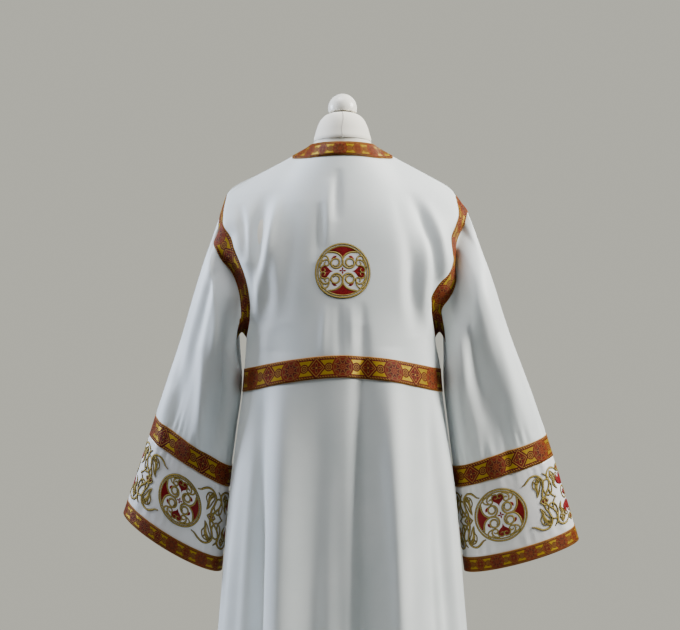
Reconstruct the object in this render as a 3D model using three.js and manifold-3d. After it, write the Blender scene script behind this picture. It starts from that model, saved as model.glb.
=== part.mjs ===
// A sticharion, a church vestment, on a limbless dress form. Millimetres, +Z up.
// The wearer would face -Y, so the back is on the +Y side and the wearer's left is +X.
import * as THREE from "three";
import { mergeVertices } from "three/addons/utils/BufferGeometryUtils.js";
import Module from "manifold-3d";

const wasm = await Module();
wasm.setup();

// ---- driving sizes ----
const clothWall = 2;
const trimWall = 1.4;
const seamGap = 0.3;
const trimGap = 0.3;
const trimInset = 2.5; // the armhole galloon starts this far from the seam
const wideGalloon = 44;
const narrowGalloon = 30;
const cuffPanelLength = 146;
const backRoundelSize = 112;
const leftCuffRoundelSize = 104;
const rightCuffRoundelSize = 114;

const halfColumns = 14; // columns of the grid from the middle of a panel to its side
const neckColumn = 6; // the column that meets the neck end of the shoulder seam
const armholeRows = 12; // rows of the grid beside the armhole
const ringPoints = 2 * armholeRows; // points round a sleeve

const neckPoint = { x: 69, z: 1458 }; // neck end of the shoulder seam
const shoulderPoint = { x: 243, z: 1356 }; // sleeve end of the shoulder seam
const shoulderRise = 13; // the seam stands this far above a straight line over the form's shoulder

const formGap = 0.6; // the cloth rests this far above the form's shoulders
const formBottom = 690;
const neckSeamHeight = 1466;
const capTop = 1528;
const knobRadius = 30;
const knobCentre = 1537;
const poleRadius = 16;
const baseRadius = 200;
const baseHeight = 18;

const ivory = "#eceae4";
const formWhite = "#e9e7e1";

// ---- tables: one row for each section or fold ----
// down: distance below the shoulder line, along the cloth

// The side line shared by back and front below the armpit.
const sideLine = [
  { down: 360, half: 202, y: -10, z: 1056 },
  { down: 438, half: 205, y: -6, z: 992 },
  { down: 482, half: 209, y: -5, z: 944 },
  { down: 700, half: 236, y: 0, z: 739 },
  { down: 950, half: 256, y: 0, z: 501 },
  { down: 1400, half: 292, y: 0, z: 70 },
];

// The armhole as cut, smooth, above the armpit. backY and frontY: its two sides.
const armholeLine = [
  { down: 0, half: 243, backY: 0, frontY: 0, z: 1356 },
  { down: 60, half: 245, backY: 26, frontY: -28, z: 1311 },
  { down: 120, half: 232, backY: 48, frontY: -52, z: 1263 },
  { down: 180, half: 215, backY: 60, frontY: -66, z: 1213 },
  { down: 240, half: 201, backY: 60, frontY: -68, z: 1163 },
  { down: 300, half: 194, backY: 42, frontY: -54, z: 1109 },
  { down: 360, half: 202, backY: -10, frontY: -10, z: 1056 },
];

// The middle of each panel. flat: power of the section, small is boxy.
const backMiddle = [
  { down: 0, y: 72, z: 1456, flat: 1.6 },
  { down: 30, y: 79, z: 1427, flat: 1.4 },
  { down: 150, y: 107, z: 1311, flat: 0.9 },
  { down: 250, y: 120, z: 1212, flat: 0.75 },
  { down: 360, y: 131, z: 1104, flat: 0.75 },
  { down: 438, y: 140, z: 1026, flat: 0.82 },
  { down: 482, y: 145, z: 982, flat: 0.86 },
  { down: 700, y: 166, z: 765, flat: 0.95 },
  { down: 950, y: 191, z: 517, flat: 1 },
  { down: 1400, y: 236, z: 70, flat: 1 },
];
const frontMiddle = [
  { down: 0, y: -98, z: 1325, flat: 1.3 },
  { down: 30, y: -103, z: 1296, flat: 1.2 },
  { down: 150, y: -118, z: 1226, flat: 0.9 },
  { down: 250, y: -126, z: 1166, flat: 0.78 },
  { down: 360, y: -129, z: 1092, flat: 0.78 },
  { down: 438, y: -130, z: 1018, flat: 0.84 },
  { down: 482, y: -131, z: 974, flat: 0.88 },
  { down: 700, y: -146, z: 757, flat: 0.95 },
  { down: 950, y: -165, z: 509, flat: 1 },
  { down: 1400, y: -200, z: 70, flat: 1 },
];

// How the folds beside each armhole pull its edge. step: row of the armhole; out and back in mm.
const leftPull = [
  { step: 0, out: 0, back: 0 },
  { step: 2, out: 2, back: 1 },
  { step: 3, out: 5, back: 2 },
  { step: 4, out: -3.5, back: 1 },
  { step: 5, out: -3, back: 0 },
  { step: 7, out: -7, back: -2 },
  { step: 10, out: -5, back: 0 },
  { step: 12, out: -1, back: 0 },
];
const rightPull = [
  { step: 0, out: -6, back: 0 },
  { step: 2, out: -5, back: 3 },
  { step: 3, out: -7.5, back: 3 },
  { step: 4, out: -9.5, back: 1 },
  { step: 5, out: 0, back: -2 },
  { step: 6, out: 10.5, back: -4 },
  { step: 7, out: 7, back: -1 },
  { step: 8, out: -8, back: 2 },
  { step: 9, out: -16.5, back: 2 },
  { step: 10, out: -13, back: 0 },
  { step: 11, out: -10, back: 0 },
  { step: 12, out: -9, back: 0 },
];

// Folds of the panels. top, bottom: place across the panel (1 is its left side) where the fold
// starts and at the hem; from, full: distance down where it starts and is whole; to, gone: where
// it starts to fade and has ended; wide: half width; deep: height in mm, troughs below zero.
const backFolds = [
  { top: -0.165, bottom: -0.12, from: 500, full: 1150, to: 1400, gone: 1500, wide: 0.13, deep: -27 },
  { top: 0.5, bottom: 0.46, from: 470, full: 1150, to: 1400, gone: 1500, wide: 0.12, deep: -20 },
  { top: 0.34, bottom: 0.24, from: 500, full: 1100, to: 1400, gone: 1500, wide: 0.11, deep: 12 },
  { top: -0.42, bottom: -0.38, from: 490, full: 1100, to: 1400, gone: 1500, wide: 0.13, deep: 14 },
  { top: -0.6, bottom: -0.66, from: 480, full: 900, to: 1400, gone: 1500, wide: 0.1, deep: -14 },
  { top: 0.12, bottom: 0.06, from: 560, full: 1100, to: 1400, gone: 1500, wide: 0.08, deep: 8 },
  { top: 0.72, bottom: 0.7, from: 500, full: 1000, to: 1400, gone: 1500, wide: 0.1, deep: 9 },
  { top: 0.56, bottom: 0.66, from: 60, full: 150, to: 260, gone: 380, wide: 0.13, deep: -7 },
  { top: -0.5, bottom: -0.62, from: 60, full: 150, to: 260, gone: 380, wide: 0.14, deep: -7 },
];
const frontFolds = [
  { top: 0.1, bottom: 0.14, from: 420, full: 1100, to: 1400, gone: 1500, wide: 0.14, deep: -24 },
  { top: -0.4, bottom: -0.46, from: 420, full: 1100, to: 1400, gone: 1500, wide: 0.13, deep: -22 },
  { top: -0.16, bottom: -0.18, from: 450, full: 1150, to: 1400, gone: 1500, wide: 0.12, deep: 13 },
  { top: 0.42, bottom: 0.42, from: 450, full: 1150, to: 1400, gone: 1500, wide: 0.12, deep: 13 },
  { top: 0.66, bottom: 0.68, from: 450, full: 1000, to: 1400, gone: 1500, wide: 0.1, deep: -13 },
  { top: -0.7, bottom: -0.7, from: 450, full: 1000, to: 1400, gone: 1500, wide: 0.1, deep: 9 },
  { top: 0.54, bottom: 0.62, from: 60, full: 150, to: 260, gone: 380, wide: 0.13, deep: -6 },
  { top: -0.54, bottom: -0.62, from: 60, full: 150, to: 260, gone: 380, wide: 0.13, deep: -6 },
];

// Sections of the sleeves. part: share of the way from armhole to cuff; outX, outZ: outer edge;
// inX, inZ: underarm edge; bow: how much lower back and front hang; y: middle; back, front: half depths.
const leftSections = [
  { part: 0.2, outX: 288, outZ: 1222, inX: 211, inZ: 970, bow: 0, y: 2, back: 74, front: 70 },
  { part: 0.4, outX: 330, outZ: 1090, inX: 223, inZ: 868, bow: 0, y: -6, back: 67, front: 64 },
  { part: 0.6, outX: 374, outZ: 956, inX: 237, inZ: 766, bow: 0, y: -16, back: 60, front: 58 },
  { part: 0.8, outX: 419, outZ: 820, inX: 248, inZ: 665, bow: 4, y: -26, back: 54, front: 52 },
  { part: 1, outX: 466, outZ: 684, inX: 258, inZ: 562, bow: 12, y: -33, back: 47, front: 46 },
];
const rightSections = [
  { part: 0.2, outX: 301, outZ: 1214, inX: 212, inZ: 970, bow: 0, y: 2, back: 74, front: 70 },
  { part: 0.4, outX: 350, outZ: 1070, inX: 223, inZ: 868, bow: 0, y: -6, back: 68, front: 64 },
  { part: 0.6, outX: 406, outZ: 924, inX: 236, inZ: 766, bow: 0, y: -16, back: 62, front: 58 },
  { part: 0.8, outX: 456, outZ: 776, inX: 248, inZ: 665, bow: 2, y: -26, back: 57, front: 53 },
  { part: 1, outX: 503, outZ: 628, inX: 261, inZ: 560, bow: 4, y: -33, back: 52, front: 48 },
];

// Which way the cloth of each sleeve leaves the armhole. step: point of the ring, 0 at the
// shoulder, 6 at the back, 12 at the armpit, 18 in front.
const leftStart = [
  { step: 0, x: 0.31, y: 0, z: -0.95 },
  { step: 1, x: 0.3, y: -0.12, z: -0.93 },
  { step: 2, x: 0.28, y: -0.35, z: -0.87 },
  { step: 3, x: 0.5, y: -0.35, z: -0.79 },
  { step: 4, x: 0.72, y: -0.35, z: -0.6 },
  { step: 5, x: 0.62, y: -0.55, z: -0.5 },
  { step: 6, x: 0.5, y: -0.75, z: -0.4 },
  { step: 7, x: 0.45, y: -0.78, z: -0.42 },
  { step: 8, x: 0.42, y: -0.7, z: -0.55 },
  { step: 9, x: 0.46, y: -0.5, z: -0.72 },
  { step: 10, x: 0.62, y: -0.3, z: -0.7 },
  { step: 11, x: 0.8, y: -0.12, z: -0.55 },
  { step: 12, x: 0.9, y: 0, z: -0.4 },
  { step: 14, x: 0.8, y: 0.35, z: -0.45 },
  { step: 16, x: 0.6, y: 0.5, z: -0.55 },
  { step: 18, x: 0.55, y: 0.3, z: -0.7 },
  { step: 21, x: 0.45, y: 0.1, z: -0.87 },
  { step: 24, x: 0.31, y: 0, z: -0.95 },
];
const rightStart = [
  { step: 0, x: 0.6, y: -0.15, z: -0.79 },
  { step: 1, x: 0.4, y: -0.38, z: -0.8 },
  { step: 2, x: 0.25, y: -0.7, z: -0.62 },
  { step: 3, x: 0.24, y: -0.84, z: -0.45 },
  { step: 4, x: 0.34, y: -0.86, z: -0.35 },
  { step: 5, x: 0.3, y: -0.88, z: -0.3 },
  { step: 6, x: 0.22, y: -0.9, z: -0.35 },
  { step: 7, x: 0.45, y: -0.78, z: -0.4 },
  { step: 8, x: 0.65, y: -0.55, z: -0.5 },
  { step: 9, x: 0.6, y: -0.6, z: -0.5 },
  { step: 10, x: 0.72, y: -0.4, z: -0.5 },
  { step: 11, x: 0.88, y: -0.15, z: -0.42 },
  { step: 12, x: 0.93, y: 0, z: -0.35 },
  { step: 14, x: 0.8, y: 0.35, z: -0.45 },
  { step: 16, x: 0.6, y: 0.5, z: -0.55 },
  { step: 18, x: 0.55, y: 0.3, z: -0.7 },
  { step: 21, x: 0.5, y: 0, z: -0.8 },
  { step: 24, x: 0.6, y: -0.15, z: -0.79 },
];

// Under the arm the first stretch of the sleeve arches up, z, over a chord that is shorter by
// shrink. spread: how many points of the ring it reaches.
const underarmArch = { z: 18, shrink: 0.4, spread: 2 };

// Folds of the sleeves. angle: place round the ring in degrees, 0 outer, 90 back; a fold drifts
// to drift by the cuff; from, full, to, gone: shares of the length; wide: half width in degrees.
const leftSleeveFolds = [
  { angle: 120, drift: 128, from: 0.1, full: 0.26, to: 0.42, gone: 0.66, wide: 24, deep: -12 },
  { angle: 92, drift: 96, from: 0.1, full: 0.3, to: 0.55, gone: 0.75, wide: 20, deep: 7 },
  { angle: 58, drift: 62, from: 0.12, full: 0.35, to: 0.5, gone: 0.72, wide: 20, deep: -6 },
  { angle: 245, drift: 240, from: 0.06, full: 0.2, to: 0.45, gone: 0.7, wide: 26, deep: -10 },
  { angle: 290, drift: 292, from: 0.1, full: 0.3, to: 0.5, gone: 0.7, wide: 24, deep: 6 },
];
const rightSleeveFolds = [
  { angle: 96, drift: 84, from: 0.08, full: 0.2, to: 0.5, gone: 0.75, wide: 26, deep: -12 },
  { angle: 60, drift: 50, from: 0.1, full: 0.3, to: 0.5, gone: 0.75, wide: 22, deep: 6 },
  { angle: 140, drift: 132, from: 0.08, full: 0.24, to: 0.45, gone: 0.7, wide: 22, deep: 6 },
  { angle: 240, drift: 246, from: 0.06, full: 0.2, to: 0.45, gone: 0.7, wide: 26, deep: -10 },
  { angle: 288, drift: 290, from: 0.1, full: 0.3, to: 0.5, gone: 0.7, wide: 24, deep: 6 },
];

// The form below the cloth. in: how far it lies inside; side: its own half width; z: side height.
const formRows = [
  { down: 0, in: 0, side: 216, z: 1363 },
  { down: 30, in: 0, side: 217, z: 1345 },
  { down: 60, in: 2, side: 215, z: 1322 },
  { down: 120, in: 7, side: 205, z: 1268 },
  { down: 180, in: 12, side: 193, z: 1210 },
  { down: 240, in: 17, side: 182, z: 1155 },
  { down: 300, in: 23, side: 173, z: 1100 },
  { down: 360, in: 31, side: 165, z: 1052 },
  { down: 438, in: 46, side: 152, z: 985 },
  { down: 520, in: 58, side: 146, z: 905 },
  { down: 640, in: 64, side: 166, z: 795 },
  { down: 760, in: 66, side: 180, z: formBottom },
];

// ---- small helpers ----
const point = (x, y, z) => new THREE.Vector3(x, y, z);
const mix = (a, b, t) => a + (b - a) * t;
const clamp01 = (t) => Math.min(1, Math.max(0, t));
const smooth = (a, b, value) => {
  const t = clamp01((value - a) / (b - a));
  return t * t * (3 - 2 * t);
};
const bump = (t) => (Math.abs(t) >= 1 ? 0 : (1 + Math.cos(Math.PI * t)) / 2);

// A smooth curve through a table: the value of one column where the key column equals at.
function along(table, key, at, column) {
  const last = table.length - 1;
  const x = Math.min(table[last][key], Math.max(table[0][key], at));
  let i = 0;
  while (i < last - 1 && table[i + 1][key] < x) i += 1;
  const slope = (k) => {
    const a = table[Math.max(0, k - 1)];
    const b = table[Math.min(last, k + 1)];
    return (b[column] - a[column]) / (b[key] - a[key]);
  };
  const width = table[i + 1][key] - table[i][key];
  const t = (x - table[i][key]) / width;
  const p0 = table[i][column];
  const p1 = table[i + 1][column];
  const m0 = slope(i) * width;
  const m1 = slope(i + 1) * width;
  const t2 = t * t;
  const t3 = t2 * t;
  return (2 * t3 - 3 * t2 + 1) * p0 + (t3 - 2 * t2 + t) * m0 + (3 * t2 - 2 * t3) * p1 + (t3 - t2) * m1;
}

// ---- the body panels ----
const armholeDown = 360;
const bandDown = 438;
const hemDown = 1400;
const lowerRows = 10;
const rowDowns = [];
for (let k = 0; k <= armholeRows; k += 1) rowDowns.push((armholeDown * k) / armholeRows);
rowDowns.push((armholeDown + bandDown) / 2, bandDown, bandDown + wideGalloon / 2, bandDown + wideGalloon);
for (let k = 1; k <= lowerRows; k += 1) {
  rowDowns.push(mix(bandDown + wideGalloon, hemDown, k / lowerRows));
}
const bandRow = armholeRows + 2;

// The neckline and the shoulder seam: the top edge of a panel. across: 0 middle, 1 shoulder point.
function topEdge(middle, across) {
  const neckShare = neckColumn / halfColumns;
  const share = Math.abs(across);
  const sign = Math.sign(across);
  if (share <= neckShare) {
    const angle = (Math.PI / 2) * (share / neckShare);
    const z = neckPoint.z + (middle[0].z - neckPoint.z) * Math.cos(angle) ** 0.9;
    return point(sign * neckPoint.x * Math.sin(angle), middle[0].y * Math.cos(angle), z);
  }
  const past = (share - neckShare) / (1 - neckShare);
  const rise = shoulderRise * past ** 2 * (1 - past ** 16);
  return point(
    sign * mix(neckPoint.x, shoulderPoint.x, past),
    0,
    mix(neckPoint.z, shoulderPoint.z, past) + rise,
  );
}

// The side edge of a panel as cut, without the pull of the folds.
function sideEdge(isBack, down) {
  if (down >= armholeDown) {
    return {
      x: along(sideLine, "down", down, "half"),
      y: along(sideLine, "down", down, "y"),
      z: along(sideLine, "down", down, "z"),
    };
  }
  return {
    x: along(armholeLine, "down", down, "half"),
    y: along(armholeLine, "down", down, isBack ? "backY" : "frontY"),
    z: along(armholeLine, "down", down, "z"),
  };
}

// One section of a panel before the top edge is fitted to it.
function section(isBack, across, down) {
  const middle = isBack ? backMiddle : frontMiddle;
  const edge = sideEdge(isBack, down);
  const angle = (Math.PI / 2) * across;
  const round = Math.max(0, Math.cos(angle)) ** along(middle, "down", down, "flat");
  const lean = Math.abs(Math.sin(angle)) ** 1.7;
  return point(
    edge.x * Math.sin(angle),
    mix(edge.y, along(middle, "down", down, "y"), round),
    mix(along(middle, "down", down, "z"), edge.z, lean),
  );
}

// A point of a panel as cut and hung, before its folds.
function panelPoint(isBack, across, down) {
  const middle = isBack ? backMiddle : frontMiddle;
  const p = section(isBack, across, down);
  const fade = (1 - clamp01(down / 200)) ** 2;
  if (fade > 0) {
    const fit = topEdge(middle, across).sub(section(isBack, across, 0));
    const atEdge = Math.abs(across) ** 6; // the armhole edge keeps its own line
    p.addScaledVector(fit, fade * (1 - atEdge) + (down === 0 ? atEdge : 0));
  }
  if (down < bandDown) {
    const pull = across > 0 ? leftPull : rightPull;
    const near = smooth(0.66, 1, Math.abs(across)) * (1 - smooth(armholeDown, bandDown, down));
    const step = (armholeRows * down) / armholeDown;
    p.x += Math.sign(across) * near * along(pull, "step", step, "out");
    p.y += (isBack ? 1 : -1) * near * along(pull, "step", step, "back");
  }
  return p;
}

function foldHeight(folds, across, down) {
  let height = 0;
  for (const fold of folds) {
    const place = mix(fold.top, fold.bottom, clamp01(down / hemDown));
    const share = smooth(fold.from, fold.full, down) * (1 - smooth(fold.to, fold.gone, down));
    height += fold.deep * share * bump((across - place) / fold.wide);
  }
  return height;
}

// The outward normal of a surface given as a function of two parameters.
function normalOf(surface, u, v, du, dv, outward) {
  const alongU = surface(Math.min(1, u + du), v).sub(surface(Math.max(-1, u - du), v));
  const alongV = surface(u, v + dv).sub(surface(u, Math.max(0, v - dv)));
  const n = alongU.cross(alongV).normalize();
  return n.dot(outward) < 0 ? n.negate() : n;
}

function makePanel(isBack) {
  const surface = (across, down) => panelPoint(isBack, across, down);
  const folds = isBack ? backFolds : frontFolds;
  const outer = [];
  const normals = [];
  for (const down of rowDowns) {
    const row = [];
    const rowNormals = [];
    for (let j = -halfColumns; j <= halfColumns; j += 1) {
      const across = j / halfColumns;
      const p = surface(across, down);
      const outward = point(p.x, isBack ? 120 : -120, Math.abs(down) < 100 ? 120 : 0);
      const n = normalOf(surface, across, down, 0.03, 12, outward);
      row.push(p.addScaledVector(n, foldHeight(folds, across, down)));
      rowNormals.push(n);
    }
    outer.push(row);
    normals.push(rowNormals);
  }
  return { outer, normals, drops: normals.map((row) => [...row]) };
}

// ---- the sleeves ----
const sleeveLength = (sleeve, turn) => mix(sleeve.outer, sleeve.under, (1 - Math.cos(turn)) / 2);
const cuffLength = wideGalloon + cuffPanelLength + narrowGalloon;

// Rows of a sleeve tube: distances from the armhole, then shares, then distances from the cuff's edge.
const middleSteps = 6;
const headRows = [0, trimInset, wideGalloon / 2, wideGalloon - 2, wideGalloon + 12];
const headEndRow = headRows.length - 1;
const headTrimRow = headEndRow - 1;
const sleeveRowPart = (sleeve, row, turn) => {
  const length = sleeveLength(sleeve, turn);
  if (row <= headEndRow) return headRows[row] / length;
  const first = headRows[headEndRow] / length;
  const last = 1 - cuffLength / length;
  if (row <= headEndRow + middleSteps) return mix(first, last, (row - headEndRow) / middleSteps);
  return 1 - (cuffLength - wideGalloon) / length;
};
const sleeveEndRow = headEndRow + middleSteps + 1;
const cuffRowPart = (sleeve, row, turn) => {
  const toEdge = [cuffPanelLength + narrowGalloon, 0, 0, narrowGalloon, 0];
  toEdge[1] = mix(toEdge[0], narrowGalloon, 1 / 3);
  toEdge[2] = mix(toEdge[0], narrowGalloon, 2 / 3);
  return 1 - toEdge[row] / sleeveLength(sleeve, turn);
};
const cuffEndRow = 4;

// The armhole edge of the finished panels, as a ring: down the back and up the front.
function armholeRing(sign, back, front) {
  const column = sign > 0 ? 2 * halfColumns : 0;
  const ring = [];
  for (let k = 0; k < ringPoints; k += 1) {
    const source = k <= armholeRows ? back : front;
    ring.push(source.outer[k <= armholeRows ? k : ringPoints - k][column].clone());
  }
  return ring;
}

// A point of a sleeve before its folds. turn: angle round the sleeve, part: share of its length.
function sleevePoint(sleeve, step, part) {
  const turn = (2 * Math.PI * step) / ringPoints;
  const start = sleeve.ring[step % ringPoints];
  const at = step % ringPoints;
  const way = point(
    sleeve.sign * along(sleeve.start, "step", at, "x"),
    along(sleeve.start, "step", at, "y"),
    along(sleeve.start, "step", at, "z"),
  ).normalize();
  const length = sleeveLength(sleeve, turn);
  const under = Math.exp(-(((at - armholeRows) / underarmArch.spread) ** 2));
  const reach = wideGalloon * (1 - underarmArch.shrink * under);
  const half = start.clone().addScaledVector(way, reach / 2);
  half.z += underarmArch.z * under;
  const knots = [
    { part: 0, x: start.x, y: start.y, z: start.z },
    { part: wideGalloon / 2 / length, x: half.x, y: half.y, z: half.z },
  ];
  const edge = start.clone().addScaledVector(way, reach);
  knots.push({ part: wideGalloon / length, x: edge.x, y: edge.y, z: edge.z });
  for (const row of sleeve.sections) {
    const share = (1 - Math.cos(turn)) / 2;
    const depth = Math.sin(turn) > 0 ? row.back : row.front;
    knots.push({
      part: row.part,
      x: sleeve.sign * mix(row.outX, row.inX, share),
      y: row.y + depth * Math.sin(turn),
      z: mix(row.outZ, row.inZ, share) - row.bow * Math.abs(Math.sin(turn)),
    });
  }
  return point(...["x", "y", "z"].map((axis) => along(knots, "part", part, axis)));
}

function sleeveFoldHeight(folds, step, part) {
  let height = 0;
  for (const fold of folds) {
    const place = mix(fold.angle, fold.drift, part);
    const share = smooth(fold.from, fold.full, part) * (1 - smooth(fold.to, fold.gone, part));
    height += fold.deep * share * bump(((360 * step) / ringPoints - place) / fold.wide);
  }
  return height;
}

// The directions in which the wall and the trim stand off the first rows of a tube, taken from its
// own facets so that both clear every facet around a point, also where the cloth folds.
function facetDirections(grid, guides, rows) {
  const turns = 40; // how often a direction is turned towards the facet that it clears least
  const turnShare = 0.1;
  const leastClear = 0.8; // a direction grows no longer than 1 over this
  const columns = grid[0].length;
  const triangleNormal = (a, b, c) => b.clone().sub(a).cross(c.clone().sub(a)).normalize();
  for (let i = 0; i < rows; i += 1) {
    for (let j = 0; j < columns; j += 1) {
      const around = [];
      for (const low of new Set([Math.max(0, i - 1), i])) {
        for (const left of [j + columns - 1, j]) {
          const [a, b] = [grid[low][left % columns], grid[low][(left + 1) % columns]];
          const [c, d] = [grid[low + 1][(left + 1) % columns], grid[low + 1][left % columns]];
          around.push(triangleNormal(a, b, c), triangleNormal(a, c, d));
        }
      }
      const facing = around[0].clone();
      around.forEach((n) => facing.add(n));
      const sign = facing.dot(guides[i][j]) < 0 ? -1 : 1;
      const direction = facing.multiplyScalar(sign).normalize();
      const clears = (n) => n.dot(direction) * sign;
      const least = () => around.reduce((one, other) => (clears(one) < clears(other) ? one : other));
      for (let k = 0; k < turns; k += 1) direction.addScaledVector(least(), turnShare * sign).normalize();
      guides[i][j] = direction.multiplyScalar(1 / Math.max(leastClear, clears(least())));
    }
  }
}

function makeTube(sleeve, rows, partOf) {
  const outer = [];
  const normals = [];
  for (let row = 0; row <= rows; row += 1) {
    const ring = [];
    const ringNormals = [];
    const centre = point(0, 0, 0);
    const bare = [];
    for (let k = 0; k < ringPoints; k += 1) {
      const part = partOf(sleeve, row, (2 * Math.PI * k) / ringPoints);
      bare.push(sleevePoint(sleeve, k, part));
      centre.addScaledVector(bare[k], 1 / ringPoints);
    }
    for (let k = 0; k < ringPoints; k += 1) {
      const part = partOf(sleeve, row, (2 * Math.PI * k) / ringPoints);
      const before = bare[(k + ringPoints - 1) % ringPoints];
      const after = bare[(k + 1) % ringPoints];
      const step = 0.03;
      const low = sleevePoint(sleeve, k, Math.max(0, part - step));
      const high = sleevePoint(sleeve, k, Math.min(1, part + step));
      const n = after.clone().sub(before).cross(high.sub(low)).normalize();
      if (n.dot(bare[k].clone().sub(centre)) < 0) n.negate();
      const height = sleeveFoldHeight(sleeve.folds, k, part);
      ring.push(bare[k].clone().addScaledVector(n, height));
      ringNormals.push(n);
    }
    outer.push(ring);
    normals.push(ringNormals);
  }
  if (rows === sleeveEndRow) facetDirections(outer, normals, headEndRow + 1);
  return { outer, normals, drops: normals.map((row) => [...row]) };
}

// ---- seams ----
// Where two pieces meet, their walls share one direction, as a mitre does, and each edge draws
// back by half a gap. The direction is longer than 1 where the pieces meet at an angle.
function mitre(one, other) {
  const sum = one.clone().add(other).normalize();
  return sum.multiplyScalar(1 / Math.max(0.5, sum.dot(one)));
}

const lastRow = rowDowns.length - 1;
const lastColumn = 2 * halfColumns;

function joinSeams(back, front, left, right) {
  for (const [tube, column] of [
    [left, lastColumn],
    [right, 0],
  ]) {
    for (let k = 0; k < ringPoints; k += 1) {
      const panels = [];
      if (k <= armholeRows) panels.push([back, k]);
      if (k >= armholeRows || k === 0) panels.push([front, k === 0 ? 0 : ringPoints - k]);
      const body = point(0, 0, 0);
      for (const [panel, row] of panels) body.add(panel.normals[row][column]);
      const shared = mitre(body.normalize(), tube.normals[0][k]);
      for (const [panel, row] of panels) panel.drops[row][column] = shared;
      tube.drops[0][k] = shared;
    }
  }
  for (let j = neckColumn; j < halfColumns; j += 1) {
    for (const column of [halfColumns - j, halfColumns + j]) {
      const shared = mitre(back.normals[0][column], front.normals[0][column]);
      back.drops[0][column] = shared;
      front.drops[0][column] = shared;
    }
  }
  for (let row = armholeRows + 1; row <= lastRow; row += 1) {
    for (const column of [0, lastColumn]) {
      const shared = mitre(back.normals[row][column], front.normals[row][column]);
      back.drops[row][column] = shared;
      front.drops[row][column] = shared;
    }
  }
}

// Moves a grid's edge points back from a seam, towards their neighbours in the grid.
function drawBack(grid, row, column, rowStep, columnStep) {
  const rowPoints = grid[row];
  const from = rowPoints[column];
  const width = rowPoints.length;
  const to = grid[row + rowStep][(column + columnStep + width) % width];
  from.addScaledVector(to.clone().sub(from).normalize(), seamGap / 2);
}

function openPanelSeams(panel) {
  const bare = panel.outer.map((row) => row.map((p) => p.clone()));
  for (let row = 0; row <= lastRow; row += 1) {
    drawBack(panel.outer, row, 0, 0, 1);
    drawBack(panel.outer, row, lastColumn, 0, -1);
  }
  for (let j = neckColumn; j <= halfColumns; j += 1) {
    for (const column of [halfColumns - j, halfColumns + j]) drawBack(panel.outer, 0, column, 1, 0);
  }
  return bare;
}

function openTubeEnds(tube, rows) {
  for (let k = 0; k < ringPoints; k += 1) {
    drawBack(tube.outer, 0, k, 1, 0);
    drawBack(tube.outer, rows, k, -1, 0);
  }
}

// ---- solids ----
const same = (a, b) => a.distanceToSquared(b) < 1e-8;

function addTriangle(list, a, b, c) {
  if (same(a, b) || same(b, c) || same(c, a)) return;
  list.push(a.x, a.y, a.z, b.x, b.y, b.z, c.x, c.y, c.z);
}

function addQuad(list, a, b, c, d, otherWay) {
  if (otherWay) {
    addTriangle(list, a, b, d);
    addTriangle(list, b, c, d);
  } else {
    addTriangle(list, a, b, c);
    addTriangle(list, a, c, d);
  }
}

function geometryOf(list) {
  const geometry = new THREE.BufferGeometry();
  geometry.setAttribute("position", new THREE.Float32BufferAttribute(list, 3));
  geometry.computeVertexNormals();
  return geometry;
}

// A wall between two grids of the same size. ring: the columns close on themselves.
// turned: tells of a column whether its diagonals run the other way, so that both halves of a
// panel mirror each other. turnedSide: the side, low or high, whose end faces turn theirs.
function wallBetween(outer, inner, ring, turned, turnedSide = "none") {
  const list = [];
  const rows = outer.length;
  const columns = outer[0].length;
  const spans = ring ? columns : columns - 1;
  for (let i = 0; i < rows - 1; i += 1) {
    for (let j = 0; j < spans; j += 1) {
      const k = (j + 1) % columns;
      const other = turned(j);
      addQuad(list, outer[i][j], outer[i][k], outer[i + 1][k], outer[i + 1][j], other);
      addQuad(list, inner[i][j], inner[i + 1][j], inner[i + 1][k], inner[i][k], other);
    }
  }
  for (let j = 0; j < spans; j += 1) {
    const k = (j + 1) % columns;
    const end = rows - 1;
    addQuad(list, outer[0][k], outer[0][j], inner[0][j], inner[0][k], false);
    addQuad(list, outer[end][j], outer[end][k], inner[end][k], inner[end][j], false);
  }
  if (!ring) {
    const side = columns - 1;
    for (let i = 0; i < rows - 1; i += 1) {
      const low = turnedSide === "low";
      const high = turnedSide === "high";
      addQuad(list, outer[i][0], outer[i + 1][0], inner[i + 1][0], inner[i][0], low);
      addQuad(list, outer[i + 1][side], outer[i][side], inner[i][side], inner[i + 1][side], high);
    }
  }
  return geometryOf(outwards(list));
}

// Turns a closed list of triangles outwards if it faces in.
function outwards(list) {
  let volume = 0;
  const a = point();
  const b = point();
  const c = point();
  for (let i = 0; i < list.length; i += 9) {
    a.fromArray(list, i);
    b.fromArray(list, i + 3);
    c.fromArray(list, i + 6);
    volume += a.dot(b.cross(c));
  }
  if (volume > 0) return list;
  const turned = [];
  for (let i = 0; i < list.length; i += 9) {
    turned.push(...list.slice(i, i + 3), ...list.slice(i + 6, i + 9), ...list.slice(i + 3, i + 6));
  }
  return turned;
}

const lifted = (grid, normals, height) =>
  grid.map((row, i) => row.map((p, j) => p.clone().addScaledVector(normals[i][j], height)));

const patch = (grid, row0, row1, column0, column1) =>
  grid.slice(row0, row1 + 1).map((row) => row.slice(column0, column1 + 1));

const never = () => false;
const fromMiddle = (column) => column >= halfColumns;

function clothWallOf(piece, ring, turnedSide) {
  const inner = lifted(piece.outer, piece.drops, -clothWall);
  return wallBetween(piece.outer, inner, ring, ring ? never : fromMiddle, turnedSide);
}

function trimOn(grid, normals, ring, turned) {
  const low = lifted(grid, normals, trimGap);
  const high = lifted(grid, normals, trimGap + trimWall);
  return wallBetween(high, low, ring, turned);
}

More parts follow.
